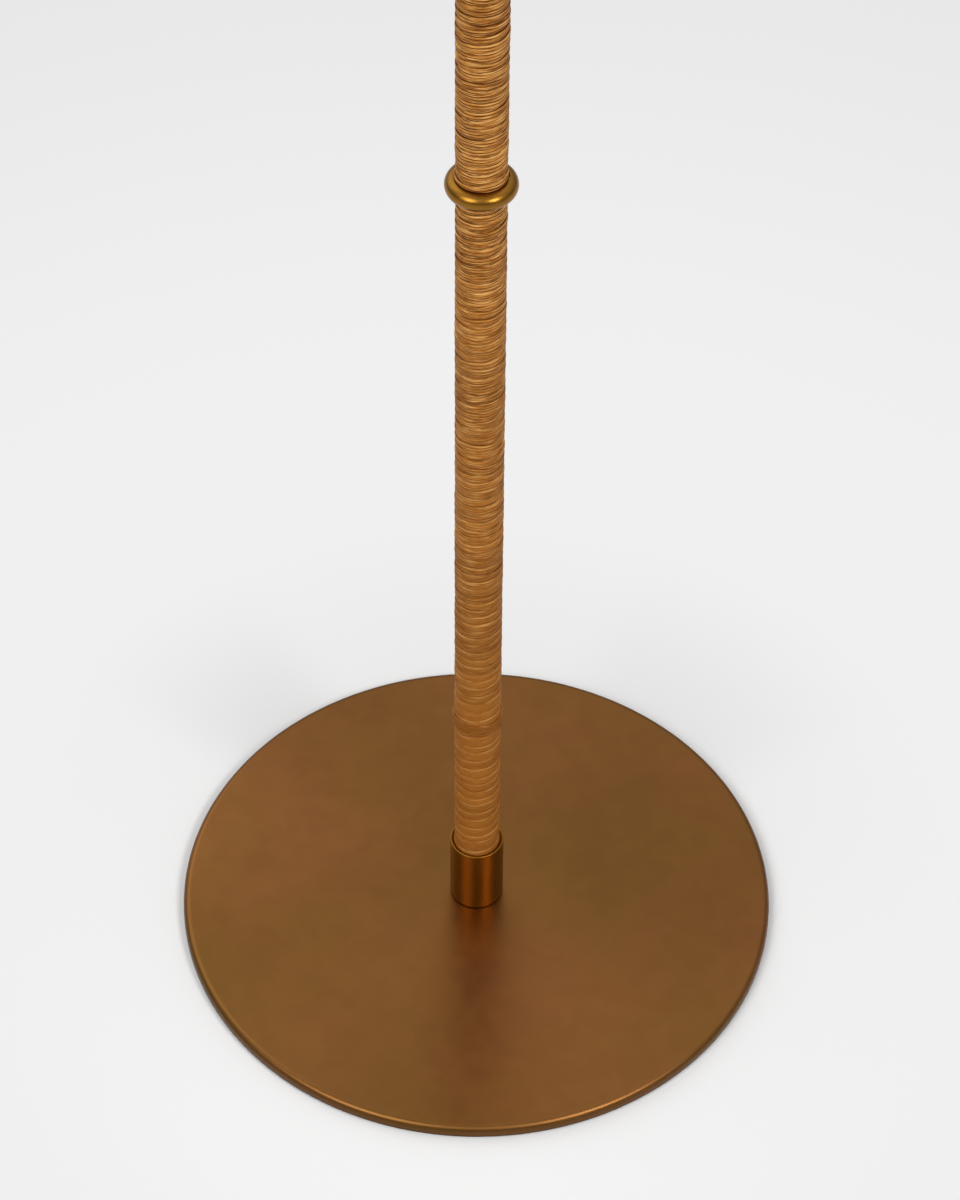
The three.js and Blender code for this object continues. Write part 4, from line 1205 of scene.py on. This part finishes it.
class RATTAN_LAMP_OT_harp(RattanLampOperator):
    """Models the harp's bow, its two sleeves and its stud"""

    bl_idname = "rattan_lamp.harp"
    bl_label = "Harp"

    def execute(self, context):
        half, wire = 63, 2
        _, foot, top = reach("harp_bow")
        top -= wire
        # The handles of the knots make quarter ovals
        leg, share = HARP_LEG, 0.5523
        leg_top, widest = foot + 36, reach("harp_saddle")[1] + 118
        bend, crown = (widest - leg_top) * share, (top - widest) * share
        left = [
            ((-leg, 0, foot), (-leg, 0, foot), (-leg, 0, foot + 12)),
            ((-leg, 0, leg_top), (-leg, 0, leg_top - 12), (-leg, 0, leg_top + bend)),
            ((-half, 0, widest), (-half, 0, widest - bend), (-half, 0, widest + crown)),
        ]
        crest = ((0, 0, top), (-half * share, 0, top), (half * share, 0, top))
        right = [tuple((-x, y, z) for x, y, z in (place, after, before))
                 for place, before, after in left[::-1]]
        bow = bent_wire("Harp_bow", [*left, crest, *right], wire, steps=24, sides=7)
        settle(smooth(bow, angle=40, edge=0.3), "stand", "aged_brass", "harp_bow")
        self.sleeves()
        self.stud(top, wire)
        return {"FINISHED"}

    def sleeves(self):
        _, low, high = reach("harp_sleeve_left")
        bore, radius, bead, rise = 2.3, 3.6, 0.45, high - low
        left = turned("Harp_sleeve_left", [
            (bore, 0), *arc(radius - bead, bead, bead, -90, 90, 6), (radius - 0.35, 1.3),
            (radius - 0.35, rise - 1.3), *arc(radius - bead, rise - bead, bead, -90, 90, 6), (bore, rise),
        ], low, sides=48)
        smooth(left, angle=35)
        right = copy_of(left, "Harp_sleeve_right")
        for tube, place, side in ((left, "left", -1), (right, "right", 1)):
            tube.location.x = side * HARP_LEG * MM
            settle(tube, f"sleeve_{place}", "aged_brass", f"harp_sleeve_{place}")

    def stud(self, crown, wire):
        """The stud, whose barrel holds the crown of the bow."""
        barrel, shoulder, stud, pitch = 5.2, 7.5, 3.1, 0.94
        _, low, high = reach("harp_stud")
        step = high - low - 15
        turns = [(stud, step + 0.6 + number * 0.1) for number in range(140)]
        post = turned("Harp_stud", [
            (0, 0), (barrel - 0.5, 0), (barrel, 0.5), (barrel, step - 1.8), (shoulder - 0.4, step - 1.8),
            (shoulder, step - 1.4), (shoulder, step - 0.4), (shoulder - 0.4, step), (stud, step),
            *turns, (stud - 0.5, high - low), (0, high - low),
        ], low, sides=48)
        thread(post, low + step + 0.5, high - 0.4, pitch, 0.3, stud - 0.05)
        cross = pin("Cross_cutter", wire + 0.5, -9, 9)
        cross.rotation_euler.y = math.pi / 2
        cross.location.z = crown * MM
        apply_place(cross)
        cut(post, cross)
        settle(smooth(post, angle=35), "stand", "aged_brass", "harp_stud")


class RATTAN_LAMP_OT_shade(RattanLampOperator):
    """Models the shade: linen on a stiff liner, with a lapped seam and taped edges"""

    bl_idname = "rattan_lamp.shade"
    bl_label = "Shade"

    def execute(self, context):
        settings = context.scene.rattan_lamp_shade
        bottom, top = 215, 177.5
        _, foot, head = reach("shade_panel")
        height = head - foot
        rise = [height * step / 24 for step in range(25)]
        tape, cloth, wall, margin, sides = 0.35, 0.6, 1.6, 0.6, 160

        def at(level, depth):
            """The radius at a level, so far in from the outermost skin."""
            return bottom - (bottom - top) * level / height - depth

        def cone(name, outer, inner):
            levels = [margin, *(level for level in rise if margin < level < height - margin), height - margin]
            outside = [(at(level, outer), level) for level in levels]
            inside = [(at(level, inner), level) for level in levels[::-1]]
            return turned(name, [*outside, *inside], foot, sides)

        cover = cone("Shade_cover", tape, tape + cloth)
        liner = cone("Shade_liner", tape + cloth, wall)
        wrap(cover, (bottom + top) / 2)
        settle(smooth(cover, angle=30), "shade", "linen", "shade_panel")
        settle(smooth(liner, angle=30), "shade", "linen", finish=styrene)
        # A tape is folded over each edge: how far from that edge, and how deep from the skin
        hem = settings.hem_width / MM
        fold = [(hem, 0.3), (hem - 0.6, 0.05), (tape, 0), (0, tape), (0, wall), (tape, wall + tape),
                (hem, wall + 0.3), (hem, wall - 0.05), (0.7, wall - 0.05), (0.7, 0.4)]
        for name, edge, inward, radius in (("Hem_bottom", 0, 1, bottom), ("Hem_top", height, -1, top)):
            outline = [(at(edge + inward * away, depth), edge + inward * away) for away, depth in fold]
            made = turned(name, outline, foot, sides)
            wrap(made, radius)
            settle(smooth(made, angle=40), "shade", "linen")
        seam = self.seam(at, foot, hem, height, settings.seam_width / MM)
        wrap(seam, (bottom + top) / 2)
        settle(smooth(seam, angle=40), "shade", "linen")
        # The real cover is cut from the flat as a ring sector, by the development of the cone; here it is
        # turned
        return {"FINISHED"}

    def seam(self, at, foot, hem, height, width):
        """The lap at the rear, a narrow band that lies on the cover."""
        band = start("Shade_seam", bpy.ops.mesh.primitive_grid_add, x_subdivisions=4, y_subdivisions=24,
                     size=MM)
        for vertex in band.data.vertices:
            across, up = vertex.co.x / MM * width, vertex.co.y / MM + 0.5
            level = hem + up * (height - 2 * hem)
            radius = at(level, 0.02)
            angle = math.pi / 2 - across / radius
            vertex.co = Vector((radius * math.cos(angle), radius * math.sin(angle), foot + level)) * MM
        modify(band, "SOLIDIFY", thickness=0.33 * MM, offset=0.0)
        close_up(band)
        return band


class RATTAN_LAMP_OT_shade_frame(RattanLampOperator):
    """Models the shade's two wire rings, the spider's arms and its eye"""

    bl_idname = "rattan_lamp.shade_frame"
    bl_label = "Shade frame"

    wire = 1.5

    def ring(self, name, radius, level):
        """A ring of wire at a level, whose middle line has the radius."""
        made = start(name, bpy.ops.mesh.primitive_torus_add, major_segments=160, minor_segments=14,
                     major_radius=radius * MM, minor_radius=self.wire * MM, location=(0, 0, level * MM))
        apply_place(made)
        smooth(made, angle=60)
        return made

    def execute(self, context):
        wire, eye, hole, thick, slope = self.wire, 11, 3.6, 1.6, 34
        radius, foot, _ = reach("shade_bottom_ring")
        bottom = self.ring("Shade_bottom_ring", radius - wire, foot + wire)
        settle(bottom, "shade", "aged_brass", "shade_bottom_ring")
        radius, low, high = reach("shade_spider")
        rim, level, middle = radius - wire, high - wire, low + thick / 2
        top = self.ring("Shade_spider", rim, level)
        washer = turned("Eye", [
            (hole, 0), (eye - 0.4, 0), (eye, 0.4), (eye, thick - 0.4), (eye - 0.4, thick), (hole, thick)],
            low, sides=64)
        smooth(washer, angle=30)
        # Along an arm: how far out, how high, and the handles back and on
        stations = [(hole + 2.6, middle, 2, 2), (eye + 1.5, middle, 2, slope / 2),
                    (eye + slope, level, slope / 2, 2), (rim, level, 2, 2)]
        knots = [((x, 0, z), (x - back, 0, z), (x + on, 0, z)) for x, z, back, on in stations]
        arm = bent_wire("Arm", knots, wire, steps=10, sides=4)
        smooth(arm, angle=60)
        arms = [arm, copy_of(arm, "Second_arm"), copy_of(arm, "Third_arm")]
        for made, direction in zip(arms, (90, 210, 330)):
            made.rotation_euler.z = math.radians(direction)
            apply_place(made)
        spider = join(top, washer, *arms)
        settle(spider, "shade", "aged_brass", "shade_spider")
        return {"FINISHED"}


class RATTAN_LAMP_OT_finial(RattanLampOperator):
    """Turns the finial that holds the shade down"""

    bl_idname = "rattan_lamp.finial"
    bl_label = "Finial"

    def execute(self, context):
        _, foot, top = reach("finial")
        base, neck, ball, tip, bore = 7.5, 4.6, 10.5, 3.2, 3.4
        height = top - foot
        centre = height - 4.5 - ball
        spread = math.degrees(math.acos(tip / ball))
        finial = turned("Finial", [
            (bore, 0), (base - 0.6, 0), *arc(base - 0.8, 1.5, 0.8, -60, 60, 5), (base - 1.1, 2.7),
            (neck + 0.9, 3.6), (neck + 0.2, 4.6), (neck, 6), (neck + 0.2, 7.4),
            *arc(0, centre, ball, -58, spread, 36),
            (tip, centre + ball * math.sin(math.radians(spread)) + 0.4),
            *arc(0, height - tip, tip, 20, 85, 8), (0, height), (0, 17), (bore, 17),
        ], foot, sides=96)
        settle(smooth(finial, angle=30), "stand", "warm_brass", "finial")
        return {"FINISHED"}


class RATTAN_LAMP_PT_tools(bpy.types.Panel):
    """Lists the settings and the steps of the lamp"""

    bl_idname = "RATTAN_LAMP_PT_tools"
    bl_label = "Rattan Floor Lamp"
    bl_space_type = "VIEW_3D"
    bl_region_type = "UI"
    bl_category = "Rattan Lamp"

    def draw(self, context):
        for group in SETTINGS:
            settings = getattr(context.scene, group)
            box = self.layout.box()
            for key in settings.bl_rna.properties.keys():
                if key not in ("rna_type", "name"):
                    box.prop(settings, key)
        for step in STEPS:
            self.layout.operator(step.bl_idname)


SETTINGS = {
    "rattan_lamp_stage": RattanLampStageSettings,
    "rattan_lamp_brass": RattanLampBrassSettings,
    "rattan_lamp_winding": RattanLampWindingSettings,
    "rattan_lamp_shade": RattanLampShadeSettings,
}
STEPS = (
    RATTAN_LAMP_OT_stage,
    RATTAN_LAMP_OT_base,
    RATTAN_LAMP_OT_ferrules,
    RATTAN_LAMP_OT_bushing,
    RATTAN_LAMP_OT_bead_rings,
    RATTAN_LAMP_OT_windings,
    RATTAN_LAMP_OT_inner_pieces,
    RATTAN_LAMP_OT_harp_fitting,
    RATTAN_LAMP_OT_socket,
    RATTAN_LAMP_OT_switch,
    RATTAN_LAMP_OT_bulb,
    RATTAN_LAMP_OT_harp,
    RATTAN_LAMP_OT_shade,
    RATTAN_LAMP_OT_shade_frame,
    RATTAN_LAMP_OT_finial,
)


def register():
    for made in (*SETTINGS.values(), *STEPS, RATTAN_LAMP_PT_tools):
        bpy.utils.register_class(made)
    for group, made in SETTINGS.items():
        setattr(bpy.types.Scene, group, PointerProperty(type=made))


def unregister():
    for group in SETTINGS:
        delattr(bpy.types.Scene, group)
    for made in (RATTAN_LAMP_PT_tools, *STEPS[::-1], *SETTINGS.values()):
        bpy.utils.unregister_class(made)


def main():
    register()
    for step in STEPS:
        group, name = step.bl_idname.split(".")
        getattr(getattr(bpy.ops, group), name)()


if __name__ == "__main__":
    main()
